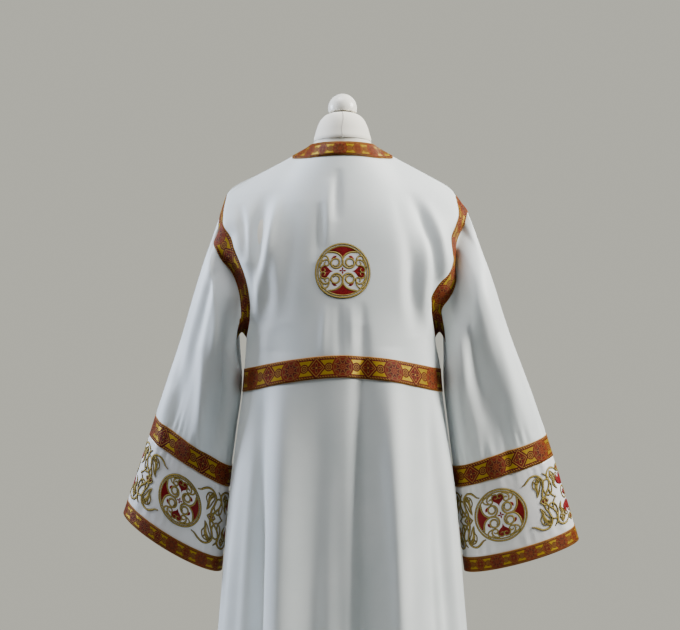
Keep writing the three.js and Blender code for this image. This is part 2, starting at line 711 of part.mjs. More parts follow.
// The neck galloon runs along the neckline of both panels and over the shoulder seams.
function neckGalloon(back, front, bareBack) {
  const loop = [];
  const add = (panel, j, turned) => {
    const column = halfColumns + j;
    const atSeam = Math.abs(j) >= neckColumn;
    const edgeColumn = halfColumns + Math.sign(j) * Math.min(Math.abs(j), neckColumn);
    loop.push({
      edge: atSeam ? bareBack[0][edgeColumn] : panel.outer[0][edgeColumn],
      edgeNormal: panel.drops[0][edgeColumn],
      far: panel.outer[1][column],
      farNormal: panel.normals[1][column],
      turned,
    });
  };
  const addSeam = (side) => {
    const past = halfColumns + side * (neckColumn + 1);
    loop.push({ ...loop[loop.length - 1], far: bareBack[0][past], farNormal: back.drops[0][past] });
  };
  for (let j = -neckColumn; j <= neckColumn; j += 1) add(back, j, j >= 0);
  addSeam(1);
  for (let j = neckColumn; j >= -neckColumn; j -= 1) add(front, j, j <= 0);
  addSeam(-1);
  const grid = [loop.map((item) => item.edge), loop.map((item) => item.far)];
  const normals = [loop.map((item) => item.edgeNormal), loop.map((item) => item.farNormal)];
  return trimOn(grid, normals, true, (j) => loop[j].turned);
}

function solidOf(geometry) {
  const bare = new THREE.BufferGeometry();
  bare.setAttribute("position", geometry.getAttribute("position"));
  if (geometry.index) bare.setIndex(geometry.index);
  const merged = mergeVertices(bare, 1e-4);
  return new wasm.Manifold(
    new wasm.Mesh({
      numProp: 3,
      vertProperties: merged.attributes.position.array,
      triVerts: new Uint32Array(merged.index.array),
    }),
  );
}

function geometryFrom(solid) {
  const mesh = solid.getMesh();
  const geometry = new THREE.BufferGeometry();
  geometry.setAttribute("position", new THREE.BufferAttribute(mesh.vertProperties, 3));
  geometry.setIndex(new THREE.BufferAttribute(mesh.triVerts, 1));
  geometry.computeVertexNormals();
  return geometry;
}

// A round medallion: the cloth's own facets, moved out, inside a cylinder square to the cloth.
function roundel(grid, normals, centre, facing, size, turned) {
  const sheet = solidOf(trimOn(grid, normals, false, turned));
  const sides = 36;
  const cutter = new THREE.CylinderGeometry(size / 2, size / 2, 60, sides);
  const turn = new THREE.Quaternion().setFromUnitVectors(point(0, 1, 0), facing);
  cutter.deleteAttribute("normal");
  cutter.deleteAttribute("uv");
  cutter.applyQuaternion(turn);
  cutter.translate(centre.x, centre.y, centre.z);
  return geometryFrom(sheet.intersect(solidOf(cutter)));
}

// ---- the dress form ----
function formPoint(isBack, across, row) {
  const p = panelPoint(isBack, across, row.down);
  const outward = point(p.x, isBack ? 120 : -120, row.down < 100 ? 120 : 0);
  const n = normalOf((u, v) => panelPoint(isBack, u, v), across, row.down, 0.03, 12, outward);
  const share = Math.abs(across);
  const byNeck = 6 * (1 - smooth(0.36, 0.5, share));
  const byArm = 5 * smooth(0.8, 0.9, share);
  const inside = clothWall + formGap + row.in + byNeck + byArm;
  const z = row.down === formRows[formRows.length - 1].down ? formBottom : p.z - n.z * inside;
  return { seam: p, normal: n, inside, place: point(p.x - n.x * inside, p.y - n.y * inside, z) };
}

function formTorso() {
  const columns = neckColumn + 1; // every second column of the panel, then the side
  const grids = [true, false].map((isBack) =>
    formRows.map((row) => {
      const line = [];
      for (let j = -columns; j <= columns; j += 1) {
        const side = Math.abs(j) === columns;
        const ownSide = { place: point(Math.sign(j) * row.side, 0, row.z) };
        line.push(side ? ownSide : formPoint(isBack, j / columns, row));
      }
      return line;
    }),
  );
  // back and front share the shoulder line
  const seamStart = neckColumn / 2;
  for (let j = seamStart; j < columns; j += 1) {
    for (const column of [columns - j, columns + j]) {
      const one = grids[0][0][column];
      const other = grids[1][0][column];
      const shared = one.seam.clone().addScaledVector(mitre(one.normal, other.normal), -one.inside);
      one.place = shared;
      other.place = shared;
    }
  }
  for (const grid of grids) grid.forEach((line, i) => (grid[i] = line.map((item) => item.place)));
  const list = [];
  grids.forEach((grid, which) => {
    for (let i = 0; i < grid.length - 1; i += 1) {
      for (let j = 0; j < 2 * columns; j += 1) {
        const corners = [grid[i][j], grid[i][j + 1], grid[i + 1][j + 1], grid[i + 1][j]];
        if (which === 0) addQuad(list, ...corners, j >= columns);
        else addQuad(list, corners[1], corners[0], corners[3], corners[2], j < columns);
      }
    }
  });
  // neck: from the neckline up to the neck's seam, and a flat top
  const ring = [];
  for (let j = -seamStart; j <= seamStart; j += 1) ring.push(grids[0][0][columns + j]);
  for (let j = seamStart - 1; j > -seamStart; j -= 1) ring.push(grids[1][0][columns + j]);
  const levels = [
    { z: neckSeamHeight - 10, x: 63, back: 60, front: 62 },
    { z: neckSeamHeight, x: 60.5, back: 58.5, front: 58.5 },
  ];
  let below = ring;
  for (const level of levels) {
    const next = ring.map((p, i) => {
      const angle = (Math.PI / 2) * (i / seamStart - 1);
      const depth = Math.cos(angle) > 0 ? level.back : level.front;
      return point(level.x * Math.sin(angle), depth * Math.cos(angle) + 4, level.z);
    });
    for (let i = 0; i < ring.length; i += 1) {
      const k = (i + 1) % ring.length;
      addQuad(list, below[k], below[i], next[i], next[k], false);
    }
    below = next;
  }
  const top = point(0, 4, neckSeamHeight);
  below.forEach((p, i) => addTriangle(list, below[(i + 1) % below.length], p, top));
  const rim = [...grids[0][formRows.length - 1], ...grids[1][formRows.length - 1].slice(1, -1).reverse()];
  const bottom = point(0, 0, formBottom);
  rim.forEach((p, i) => addTriangle(list, p, rim[(i + 1) % rim.length], bottom));
  return geometryOf(outwards(list));
}

const lathe = (profile, segments) =>
  new THREE.LatheGeometry(
    profile.map(([r, z]) => new THREE.Vector2(r, z)),
    segments,
  ).rotateX(Math.PI / 2);

function formNeck() {
  const start = neckSeamHeight + seamGap;
  const profile = [
    [0, start],
    [60, start],
    [60, start + 4],
    [57, start + 16],
    [53, start + 30],
    [47, start + 43],
    [38, start + 53],
    [25, start + 59],
    [12, capTop],
    [0, capTop],
  ];
  return lathe(profile, 28).translate(0, 4, 0);
}

function formKnob() {
  const foot = capTop + seamGap;
  const footAngle = Math.asin((foot - knobCentre) / knobRadius);
  const profile = [[0, foot]];
  const steps = 9;
  for (let k = 0; k <= steps; k += 1) {
    const angle = mix(footAngle, Math.PI / 2, k / steps);
    profile.push([k === steps ? 0 : knobRadius * Math.cos(angle), knobCentre + knobRadius * Math.sin(angle)]);
  }
  return lathe(profile, 20).translate(0, 4, 0);
}

function standPole() {
  const top = formBottom - seamGap;
  const foot = baseHeight + seamGap;
  return new THREE.CylinderGeometry(poleRadius, poleRadius, top - foot, 20)
    .rotateX(Math.PI / 2)
    .translate(0, 0, (top + foot) / 2);
}

function standBase() {
  const profile = [
    [0, 0],
    [baseRadius, 0],
    [baseRadius, baseHeight - 8],
    [baseRadius - 12, baseHeight],
    [0, baseHeight],
  ];
  return lathe(profile, 36);
}

// ---- assembly ----
const group = new THREE.Group();

const brocade = new THREE.MeshStandardMaterial({ color: ivory, roughness: 0.75 });
const satin = new THREE.MeshStandardMaterial({ color: "#f0ede6", roughness: 0.5 });
const galloon = new THREE.MeshStandardMaterial({ color: "#c4643c", roughness: 0.6, metalness: 0.2 });
const embroidery = new THREE.MeshStandardMaterial({ color: "#cda349", roughness: 0.5, metalness: 0.3 });
const formCover = new THREE.MeshStandardMaterial({ color: formWhite, roughness: 0.8 });
const paintedSteel = new THREE.MeshStandardMaterial({ color: "#d8d6d0", roughness: 0.4, metalness: 0.1 });

function addPiece(name, geometry, material) {
  const mesh = new THREE.Mesh(geometry, material);
  mesh.name = name;
  group.add(mesh);
}

const back = makePanel(true);
const front = makePanel(false);
// outer, under: lengths of a sleeve from shoulder and from armpit; roundelColumn: the point of the
// ring that its back roundel is centred on
const sleeves = [
  {
    side: "left",
    sign: 1,
    outer: 715,
    under: 500,
    start: leftStart,
    sections: leftSections,
    folds: leftSleeveFolds,
    roundelSize: leftCuffRoundelSize,
    roundelColumn: 6,
  },
  {
    side: "right",
    sign: -1,
    outer: 725,
    under: 500,
    start: rightStart,
    sections: rightSections,
    folds: rightSleeveFolds,
    roundelSize: rightCuffRoundelSize,
    roundelColumn: 7,
  },
];
for (const sleeve of sleeves) {
  sleeve.ring = armholeRing(sleeve.sign, back, front);
  sleeve.tube = makeTube(sleeve, sleeveEndRow, sleeveRowPart);
  sleeve.cuff = makeTube(sleeve, cuffEndRow, cuffRowPart);
}
joinSeams(back, front, sleeves[0].tube, sleeves[1].tube);
const bareBack = openPanelSeams(back);
openPanelSeams(front);

addPiece("back", clothWallOf(back, false, "low"), brocade);
addPiece("front", clothWallOf(front, false, "high"), brocade);
addPiece("neck_galloon", neckGalloon(back, front, bareBack), galloon);

const bandPatch = [bandRow, bandRow + 2, 0, lastColumn];
addPiece(
  "back_galloon",
  trimOn(patch(back.outer, ...bandPatch), patch(back.normals, ...bandPatch), false, fromMiddle),
  galloon,
);

const roundelRow = 9;
const roundelPatch = [roundelRow - 3, roundelRow + 3, halfColumns - 5, halfColumns + 5];
addPiece(
  "back_roundel",
  roundel(
    patch(back.outer, ...roundelPatch),
    patch(back.normals, ...roundelPatch),
    back.outer[roundelRow][halfColumns],
    back.normals[roundelRow][halfColumns],
    backRoundelSize,
    (column) => column >= 5,
  ),
  embroidery,
);

for (const sleeve of sleeves) {
  const { side, tube, cuff } = sleeve;
  openTubeEnds(tube, sleeveEndRow);
  openTubeEnds(cuff, cuffEndRow);
  addPiece(side + "_sleeve", clothWallOf(tube, true), brocade);
  addPiece(side + "_cuff_panel", clothWallOf(cuff, true), satin);
  const ringTrim = (piece, row0, row1) =>
    trimOn(
      patch(piece.outer, row0, row1, 0, ringPoints),
      patch(piece.normals, row0, row1, 0, ringPoints),
      true,
      never,
    );
  addPiece(side + "_armhole_galloon", ringTrim(tube, 1, headTrimRow), galloon);
  addPiece(side + "_cuff_galloon", ringTrim(tube, sleeveEndRow - 1, sleeveEndRow), galloon);
  addPiece(side + "_hem_galloon", ringTrim(cuff, cuffEndRow - 1, cuffEndRow), galloon);
  for (const [face, column] of [
    ["back", sleeve.roundelColumn],
    ["front", ringPoints - sleeve.roundelColumn],
  ]) {
    const area = [0, 3, column - 5, column + 5];
    const centre = cuff.outer[1][column].clone().lerp(cuff.outer[2][column], 0.5);
    addPiece(
      side + "_cuff_roundel_" + face,
      roundel(
        patch(cuff.outer, ...area),
        patch(cuff.normals, ...area),
        centre,
        cuff.normals[1][column],
        sleeve.roundelSize,
        never,
      ),
      embroidery,
    );
  }
}

addPiece("form_torso", formTorso(), formCover);
addPiece("form_neck", formNeck(), formCover);
addPiece("form_knob", formKnob(), paintedSteel);
addPiece("stand_pole", standPole(), paintedSteel);
addPiece("stand_base", standBase(), paintedSteel);

export default group;
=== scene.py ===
# A sticharion on a limbless dress form: white crepe cloth, woven galloons, embroidered roundels and vines.
import math

import bpy
import numpy as np
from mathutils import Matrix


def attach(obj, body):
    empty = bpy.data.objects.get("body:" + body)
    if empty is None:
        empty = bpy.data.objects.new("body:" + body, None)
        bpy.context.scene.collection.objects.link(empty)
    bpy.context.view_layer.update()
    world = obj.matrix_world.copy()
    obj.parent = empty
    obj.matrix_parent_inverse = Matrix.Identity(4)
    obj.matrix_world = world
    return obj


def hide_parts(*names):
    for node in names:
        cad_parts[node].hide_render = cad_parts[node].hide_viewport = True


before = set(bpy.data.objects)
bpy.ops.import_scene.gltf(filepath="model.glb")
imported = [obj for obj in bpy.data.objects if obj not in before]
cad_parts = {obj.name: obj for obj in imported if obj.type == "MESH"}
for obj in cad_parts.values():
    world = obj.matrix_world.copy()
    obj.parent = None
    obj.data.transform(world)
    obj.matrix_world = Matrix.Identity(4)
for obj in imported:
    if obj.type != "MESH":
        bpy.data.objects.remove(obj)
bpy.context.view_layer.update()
print("frame loaded")

mm = 0.001

# the cut of the garment, in millimetres, as the frame has it

cut = dict(
    halfColumns=14,
    neckColumn=6,
    armholeDown=360,
    bandDown=438,
    hemDown=1400,
    wideGalloon=44,
    narrowGalloon=30,
    cuffPanel=146,
    neckX=69,
    neckZ=1458,
    shoulderX=243,
    shoulderZ=1356,
    shoulderRise=13,
    roundelDown=270,
    neckReach=200,
)

sideLine = dict(
    down=(360, 438, 482, 700, 950, 1400),
    half=(202, 205, 209, 236, 256, 292),
    y=(-10, -6, -5, 0, 0, 0),
    z=(1056, 992, 944, 739, 501, 70),
)
armholeLine = dict(
    down=(0, 60, 120, 180, 240, 300, 360),
    half=(243, 245, 232, 215, 201, 194, 202),
    backY=(0, 26, 48, 60, 60, 42, -10),
    frontY=(0, -28, -52, -66, -68, -54, -10),
    z=(1356, 1311, 1263, 1213, 1163, 1109, 1056),
)
backMiddle = dict(
    down=(0, 30, 150, 250, 360, 438, 482, 700, 950, 1400),
    y=(72, 79, 107, 120, 131, 140, 145, 166, 191, 236),
    z=(1456, 1427, 1311, 1212, 1104, 1026, 982, 765, 517, 70),
    flat=(1.6, 1.4, 0.9, 0.75, 0.75, 0.82, 0.86, 0.95, 1, 1),
)
frontMiddle = dict(
    down=(0, 30, 150, 250, 360, 438, 482, 700, 950, 1400),
    y=(-98, -103, -118, -126, -129, -130, -131, -146, -165, -200),
    z=(1325, 1296, 1226, 1166, 1092, 1018, 974, 757, 509, 70),
    flat=(1.3, 1.2, 0.9, 0.78, 0.78, 0.84, 0.88, 0.95, 1, 1),
)
leftPull = dict(
    step=(0, 2, 3, 4, 5, 7, 10, 12),
    out=(0, 2, 5, -3.5, -3, -7, -5, -1),
    back=(0, 1, 2, 1, 0, -2, 0, 0),
)
rightPull = dict(
    step=(0, 2, 3, 4, 5, 6, 7, 8, 9, 10, 11, 12),
    out=(-6, -5, -7.5, -9.5, 0, 10.5, 7, -8, -16.5, -13, -10, -9),
    back=(0, 3, 3, 1, -2, -4, -1, 2, 2, 0, 0, 0),
)

# top, bottom: place across the panel; start, full, fade, gone: distances down; wide: half width; deep in mm
foldColumns = ("top", "bottom", "start", "full", "fade", "gone", "wide", "deep")
backFolds = (
    (-0.165, -0.12, 500, 1150, 1400, 1500, 0.13, -27),
    (0.5, 0.46, 470, 1150, 1400, 1500, 0.12, -20),
    (0.34, 0.24, 500, 1100, 1400, 1500, 0.11, 12),
    (-0.42, -0.38, 490, 1100, 1400, 1500, 0.13, 14),
    (-0.6, -0.66, 480, 900, 1400, 1500, 0.1, -14),
    (0.12, 0.06, 560, 1100, 1400, 1500, 0.08, 8),
    (0.72, 0.7, 500, 1000, 1400, 1500, 0.1, 9),
    (0.56, 0.66, 60, 150, 260, 380, 0.13, -7),
    (-0.5, -0.62, 60, 150, 260, 380, 0.14, -7),
)
frontFolds = (
    (0.1, 0.14, 420, 1100, 1400, 1500, 0.14, -24),
    (-0.4, -0.46, 420, 1100, 1400, 1500, 0.13, -22),
    (-0.16, -0.18, 450, 1150, 1400, 1500, 0.12, 13),
    (0.42, 0.42, 450, 1150, 1400, 1500, 0.12, 13),
    (0.66, 0.68, 450, 1000, 1400, 1500, 0.1, -13),
    (-0.7, -0.7, 450, 1000, 1400, 1500, 0.1, 9),
    (0.54, 0.62, 60, 150, 260, 380, 0.13, -6),
    (-0.54, -0.62, 60, 150, 260, 380, 0.13, -6),
)
leftSections = dict(
    part=(0.2, 0.4, 0.6, 0.8, 1),
    outX=(288, 330, 374, 419, 466),
    outZ=(1222, 1090, 956, 820, 684),
    inX=(211, 223, 237, 248, 258),
    inZ=(970, 868, 766, 665, 562),
    bow=(0, 0, 0, 4, 12),
    y=(2, -6, -16, -26, -33),
    back=(74, 67, 60, 54, 47),
    front=(70, 64, 58, 52, 46),
)
rightSections = dict(
    part=(0.2, 0.4, 0.6, 0.8, 1),
    outX=(301, 350, 406, 456, 503),
    outZ=(1214, 1070, 924, 776, 628),
    inX=(212, 223, 236, 248, 261),
    inZ=(970, 868, 766, 665, 560),
    bow=(0, 0, 0, 2, 4),
    y=(2, -6, -16, -26, -33),
    back=(74, 68, 62, 57, 52),
    front=(70, 64, 58, 53, 48),
)
# which way each sleeve leaves the armhole, by the point of the ring: 0 shoulder, 6 back, 12 armpit, 18 front
leftStart = dict(
    step=(0, 1, 2, 3, 4, 5, 6, 7, 8, 9, 10, 11, 12, 14, 16, 18, 21, 24),
    x=(0.31, 0.3, 0.28, 0.5, 0.72, 0.62, 0.5, 0.45, 0.42, 0.46, 0.62, 0.8, 0.9, 0.8, 0.6, 0.55, 0.45, 0.31),
    y=(0, -0.12, -0.35, -0.35, -0.35, -0.55, -0.75, -0.78, -0.7, -0.5, -0.3, -0.12, 0, 0.35, 0.5, 0.3, 0.1, 0),
    z=(
        -0.95, -0.93, -0.87, -0.79, -0.6, -0.5, -0.4, -0.42, -0.55,
        -0.72, -0.7, -0.55, -0.4, -0.45, -0.55, -0.7, -0.87, -0.95,
    ),
)
rightStart = dict(
    step=(0, 1, 2, 3, 4, 5, 6, 7, 8, 9, 10, 11, 12, 14, 16, 18, 21, 24),
    x=(0.6, 0.4, 0.25, 0.24, 0.34, 0.3, 0.22, 0.45, 0.65, 0.6, 0.72, 0.88, 0.93, 0.8, 0.6, 0.55, 0.5, 0.6),
    y=(-0.15, -0.38, -0.7, -0.84, -0.86, -0.88, -0.9, -0.78, -0.55, -0.6, -0.4, -0.15, 0, 0.35, 0.5, 0.3, 0, -0.15),
    z=(
        -0.79, -0.8, -0.62, -0.45, -0.35, -0.3, -0.35, -0.4, -0.5,
        -0.5, -0.5, -0.42, -0.35, -0.45, -0.55, -0.7, -0.8, -0.79,
    ),
)
# a sleeve's ring in steps, from the shoulder point round the back; step: where the armpit is
ringSteps = 24
underarmArch = dict(step=12, z=18, shrink=0.4, spread=2)
# top, bottom: place round the sleeve in degrees; start to gone: shares of its length
leftSleeveFolds = (
    (120, 128, 0.1, 0.26, 0.42, 0.66, 24, -12),
    (92, 96, 0.1, 0.3, 0.55, 0.75, 20, 7),
    (58, 62, 0.12, 0.35, 0.5, 0.72, 20, -6),
    (245, 240, 0.06, 0.2, 0.45, 0.7, 26, -10),
    (290, 292, 0.1, 0.3, 0.5, 0.7, 24, 6),
)
rightSleeveFolds = (
    (96, 84, 0.08, 0.2, 0.5, 0.75, 26, -12),
    (60, 50, 0.1, 0.3, 0.5, 0.75, 22, 6),
    (140, 132, 0.08, 0.24, 0.45, 0.7, 22, 6),
    (240, 246, 0.06, 0.2, 0.45, 0.7, 26, -10),
    (288, 290, 0.1, 0.3, 0.5, 0.7, 24, 6),
)


def smooth(a, b, value):
    t = np.clip((np.asarray(value, float) - a) / (b - a), 0, 1)
    return t * t * (3 - 2 * t)


def bump(t):
    t = np.clip(np.abs(t), 0, 1)
    return (1 + np.cos(np.pi * t)) / 2


def curve(xs, ys, at):
    # a smooth curve through a table's points, flat slopes taken from the neighbours
    xs = np.asarray(xs, float)
    ys = np.asarray(ys, float)
    at = np.clip(np.asarray(at, float), xs[0], xs[-1])
    last = len(xs) - 1
    before = np.maximum(np.arange(last + 1) - 1, 0)
    after = np.minimum(np.arange(last + 1) + 1, last)
    slopes = (ys[after] - ys[before]) / (xs[after] - xs[before])
    i = np.clip(np.searchsorted(xs, at, side="left") - 1, 0, last - 1)
    width = xs[i + 1] - xs[i]
    t = (at - xs[i]) / width
    t2 = t * t
    t3 = t2 * t
    start = (2 * t3 - 3 * t2 + 1) * ys[i] + (t3 - 2 * t2 + t) * slopes[i] * width
    return start + (3 * t2 - 2 * t3) * ys[i + 1] + (t3 - t2) * slopes[i + 1] * width


def stepLengths(points, axis=0):
    return np.linalg.norm(np.diff(points, axis=axis), axis=-1)


def runLengths(path):
    # how far along a path each of its points lies
    return np.concatenate([[0], np.cumsum(stepLengths(path))])


def along(table, key, at, column):
    return curve(table[key], table[column], at)


def topEdge(middle, across):
    neckShare = cut["neckColumn"] / cut["halfColumns"]
    share = np.abs(across)
    sign = np.sign(across)
    angle = np.clip(share / neckShare, 0, 1) * math.pi / 2
    neckDrop = (middle["z"][0] - cut["neckZ"]) * np.clip(np.cos(angle), 0, 1) ** 0.9
    past = np.clip((share - neckShare) / (1 - neckShare), 0, 1)
    rounding = cut["shoulderRise"] * past**2 * (1 - past**16)
    inNeck = share <= neckShare
    neckX = cut["neckX"] + (cut["shoulderX"] - cut["neckX"]) * past
    x = sign * np.where(inNeck, cut["neckX"] * np.sin(angle), neckX)
    y = np.where(inNeck, middle["y"][0] * np.cos(angle), 0)
    seamZ = cut["neckZ"] + (cut["shoulderZ"] - cut["neckZ"]) * past + rounding
    z = np.where(inNeck, cut["neckZ"] + neckDrop, seamZ)
    return np.stack([x, y, z], -1)


def panelSection(isBack, across, down):
    middle = backMiddle if isBack else frontMiddle
    upper = down < cut["armholeDown"]
    edge = {}
    for column, armholeColumn in (("half", "half"), ("y", "backY" if isBack else "frontY"), ("z", "z")):
        above = along(armholeLine, "down", down, armholeColumn)
        edge[column] = np.where(upper, above, along(sideLine, "down", down, column))
    angle = math.pi / 2 * across
    roundness = np.clip(np.cos(angle), 0, 1) ** along(middle, "down", down, "flat")
    lean = np.abs(np.sin(angle)) ** 1.7
    midY = along(middle, "down", down, "y")
    midZ = along(middle, "down", down, "z")
    x = edge["half"] * np.sin(angle)
    y = edge["y"] + (midY - edge["y"]) * roundness
    z = midZ + (edge["z"] - midZ) * lean
    return np.stack([x, y, z], -1)


def panelPoint(isBack, across, down):
    # a panel as cut and hung, before its folds
    across, down = np.broadcast_arrays(np.asarray(across, float), np.asarray(down, float))
    middle = backMiddle if isBack else frontMiddle
    p = panelSection(isBack, across, down)
    fade = (1 - np.clip(down / cut["neckReach"], 0, 1)) ** 2
    atEdge = np.abs(across) ** 6
    fit = topEdge(middle, across) - panelSection(isBack, across, np.zeros_like(down))
    p = p + fit * (fade * (1 - atEdge) + np.where(down == 0, atEdge, 0))[..., None]
    near = smooth(0.66, 1, np.abs(across)) * (1 - smooth(cut["armholeDown"], cut["bandDown"], down))
    step = underarmArch["step"] * np.clip(down / cut["armholeDown"], 0, 1)
    for pull, side in ((leftPull, 1), (rightPull, -1)):
        here = near * (np.sign(across) == side)
        p[..., 0] += side * here * along(pull, "step", step, "out")
        p[..., 1] += (1 if isBack else -1) * here * along(pull, "step", step, "back")
    return p


def foldHeight(folds, across, down, length):
    # length: how far down a fold has come to its lower place
    height = np.zeros(np.broadcast(across, down).shape)
    for row in folds:
        f = dict(zip(foldColumns, row))
        place = f["top"] + (f["bottom"] - f["top"]) * np.clip(down / length, 0, 1)
        share = smooth(f["start"], f["full"], down) * (1 - smooth(f["fade"], f["gone"], down))
        height = height + f["deep"] * share * bump((across - place) / f["wide"])
    return height


def sleeveLength(sleeve, turn):
    share = (1 - np.cos(turn)) / 2
    return sleeve["outer"] + (sleeve["under"] - sleeve["outer"]) * share


def sleeveColumn(sleeve, step, parts):
    # one line of a sleeve from armhole to cuff, at a step round the ring
    turn = 2 * math.pi * step / ringSteps
    down = cut["armholeDown"] / underarmArch["step"] * min(step, ringSteps - step)
    start = panelPoint(step <= underarmArch["step"], float(sleeve["sign"]), float(down))
    way = np.array([along(sleeve["start"], "step", step, axis) for axis in "xyz"])
    way[0] *= sleeve["sign"]
    way = way / np.linalg.norm(way)
    length = float(sleeveLength(sleeve, turn))
    wide = cut["wideGalloon"]
    under = math.exp(-(((step - underarmArch["step"]) / underarmArch["spread"]) ** 2))
    reach = way * wide * (1 - underarmArch["shrink"] * under)
    half = start + reach / 2 + np.array([0, 0, underarmArch["z"] * under])
    edge = start + reach
    rows = sleeve["sections"]
    share = (1 - math.cos(turn)) / 2
    depth = rows["back"] if math.sin(turn) > 0 else rows["front"]
    places = [0, wide / 2 / length, wide / length, *rows["part"]]
    points = [start, half, edge]
    for k in range(len(rows["part"])):
        x = rows["outX"][k] + (rows["inX"][k] - rows["outX"][k]) * share
        z = rows["outZ"][k] + (rows["inZ"][k] - rows["outZ"][k]) * share - rows["bow"][k] * abs(math.sin(turn))
        points.append(np.array([sleeve["sign"] * x, rows["y"][k] + depth[k] * math.sin(turn), z]))
    points = np.array(points)
    return np.stack([curve(places, points[:, axis], parts) for axis in range(3)], -1)


# sheets: grids of points and normals, in millimetres, that every piece is made from


def gridNormals(points, ring):
    # ring: the columns close on themselves
    if ring:
        alongColumns = np.roll(points, -1, 1) - np.roll(points, 1, 1)
    else:
        alongColumns = np.gradient(points, axis=1)
    alongRows = np.gradient(points, axis=0)
    n = np.cross(alongColumns, alongRows)
    n /= np.maximum(np.linalg.norm(n, axis=-1, keepdims=True), 1e-9)
    return n


def creaseHeight(creases, x, z):
    # a soft line in the cloth that swells and dies along its length
    height = np.zeros_like(x)
    for row in creases:
        c = dict(zip(creaseColumns, row))
        dx = c["toX"] - c["fromX"]
        dz = c["toZ"] - c["fromZ"]
        length = math.hypot(dx, dz)
        t = np.clip(((x - c["fromX"]) * dx + (z - c["fromZ"]) * dz) / length**2, 0, 1)
        side = ((x - c["fromX"]) * dz - (z - c["fromZ"]) * dx) / length - c["bow"] * np.sin(np.pi * t)
        height += c["deep"] * np.sin(np.pi * t) ** 0.8 * np.exp(-((side / c["wide"]) ** 2))
    return height


def panelSheet(isBack, creases, mesh):
    downs = np.concatenate([
        np.linspace(0, cut["bandDown"], mesh["upperRows"]),
        np.linspace(cut["bandDown"], cut["bandDown"] + cut["wideGalloon"], mesh["bandRows"])[1:],
        np.linspace(cut["bandDown"] + cut["wideGalloon"], cut["hemDown"], mesh["lowerRows"])[1:],
    ])
    across = np.linspace(-1, 1, mesh["columns"] + 1)
    a, d = np.meshgrid(across, downs)
    bare = panelPoint(isBack, a, d)
    # the cloth bridges the cut's change of line below the armhole
    free = 1 - smooth(0.8, 0.97, np.abs(a[1:-1]))
    for _ in range(mesh["bridging"]):
        evened = (bare[:-2, :, 1] + 2 * bare[1:-1, :, 1] + bare[2:, :, 1]) / 4
        bare[1:-1, :, 1] += (evened - bare[1:-1, :, 1]) * free
        evened = (bare[1:-1, :-2] + 2 * bare[1:-1, 1:-1] + bare[1:-1, 2:]) / 4
        bare[1:-1, 1:-1] += (evened - bare[1:-1, 1:-1]) * free[:, 1:-1, None]
    normals = gridNormals(bare, False)
    if (normals[len(downs) // 2, len(across) // 2, 1] > 0) != isBack:
        normals = -normals
    edge = smooth(0, 0.06, 1 - np.abs(a)) * smooth(0, 40, d)
    height = foldHeight(backFolds if isBack else frontFolds, a, d, cut["hemDown"])
    height += creaseHeight(creases, bare[..., 0], bare[..., 2]) * edge
    points = bare + normals * height[..., None]
    fine = gridNormals(points, False)
    fine *= np.sign((fine * normals).sum(-1, keepdims=True))
    return dict(points=points, normals=fine, downs=downs, across=across, ring=False)


def sleeveSheet(sleeve, mesh):
    steps = np.arange(mesh["columns"]) * ringSteps / mesh["columns"]
    lines = []
    heights = []
    for step in steps:
        length = float(sleeveLength(sleeve, 2 * math.pi * step / ringSteps))
        stops = [
            0,
            cut["wideGalloon"] / length,
            1 - (2 * cut["narrowGalloon"] + cut["cuffPanel"] + cut["wideGalloon"]) / length,
            1 - (cut["wideGalloon"] + cut["cuffPanel"] + cut["narrowGalloon"]) / length,
            1 - (cut["cuffPanel"] + cut["narrowGalloon"]) / length,
            1 - cut["narrowGalloon"] / length,
            1,
        ]
        share = [np.linspace(stops[k], stops[k + 1], count)[:-1] for k, count in enumerate(mesh["rows"])]
        share = np.concatenate([*share, [1]])
        lines.append(sleeveColumn(sleeve, float(step), share))
        heights.append(foldHeight(sleeve["folds"], 360 / ringSteps * float(step), share, 1))
    bare = np.stack(lines, 1)
    height = np.stack(heights, 1)
    normals = gridNormals(bare, True)
    centre = bare.mean(1, keepdims=True)
    normals *= np.sign(((bare - centre) * normals).sum())
    breaks = np.cumsum([0] + [count - 1 for count in mesh["rows"]])
    row = np.arange(bare.shape[0])[:, None]
    turns = 2 * math.pi * steps[None, :] / ringSteps
    clear = smooth(2, breaks[1] + 4, row)
    for face, facing in (("back", 1), ("front", -1)):
        onFace = smooth(-0.2, 0.35, facing * np.sin(turns))
        height += creaseHeight(sleeve[face + "Creases"], np.abs(bare[..., 0]), bare[..., 2]) * onFace * clear
    # puckers where the galloons are sewn on at the cuff
    girth = np.cumsum(np.linalg.norm(np.diff(bare, axis=1, append=bare[:, :1]), axis=-1), axis=1)
    girth = girth[breaks[4]][None, :]
    share = girth / girth[0, -1] * 2 * math.pi
    for key, place in (("above", breaks[3]), ("below", breaks[4]), ("hem", breaks[5])):
        p = pucker[key]
        wave = np.sin(p["waves"] * share + 1.7 * np.sin(5 * share)) * (0.6 + 0.4 * np.sin(7 * share + p["phase"]))
        toSeam = np.linalg.norm(bare - bare[place][None], axis=-1)
        side = (row <= place) if p["before"] else (row >= place)
        height += p["tall"] * wave * side * (toSeam / p["reach"]) * np.exp(1 - toSeam / p["reach"])
    points = bare + normals * height[..., None]
    fine = gridNormals(points, True)
    fine *= np.sign((fine * normals).sum())
    return dict(points=points, normals=fine, breaks=breaks.tolist(), ring=True, steps=steps)


def part(sheet, row0, row1):
    # a stretch of a sheet, with the same points
    out = dict(sheet)
    out["points"] = sheet["points"][row0 : row1 + 1]
    out["normals"] = sheet["normals"][row0 : row1 + 1]
    return out


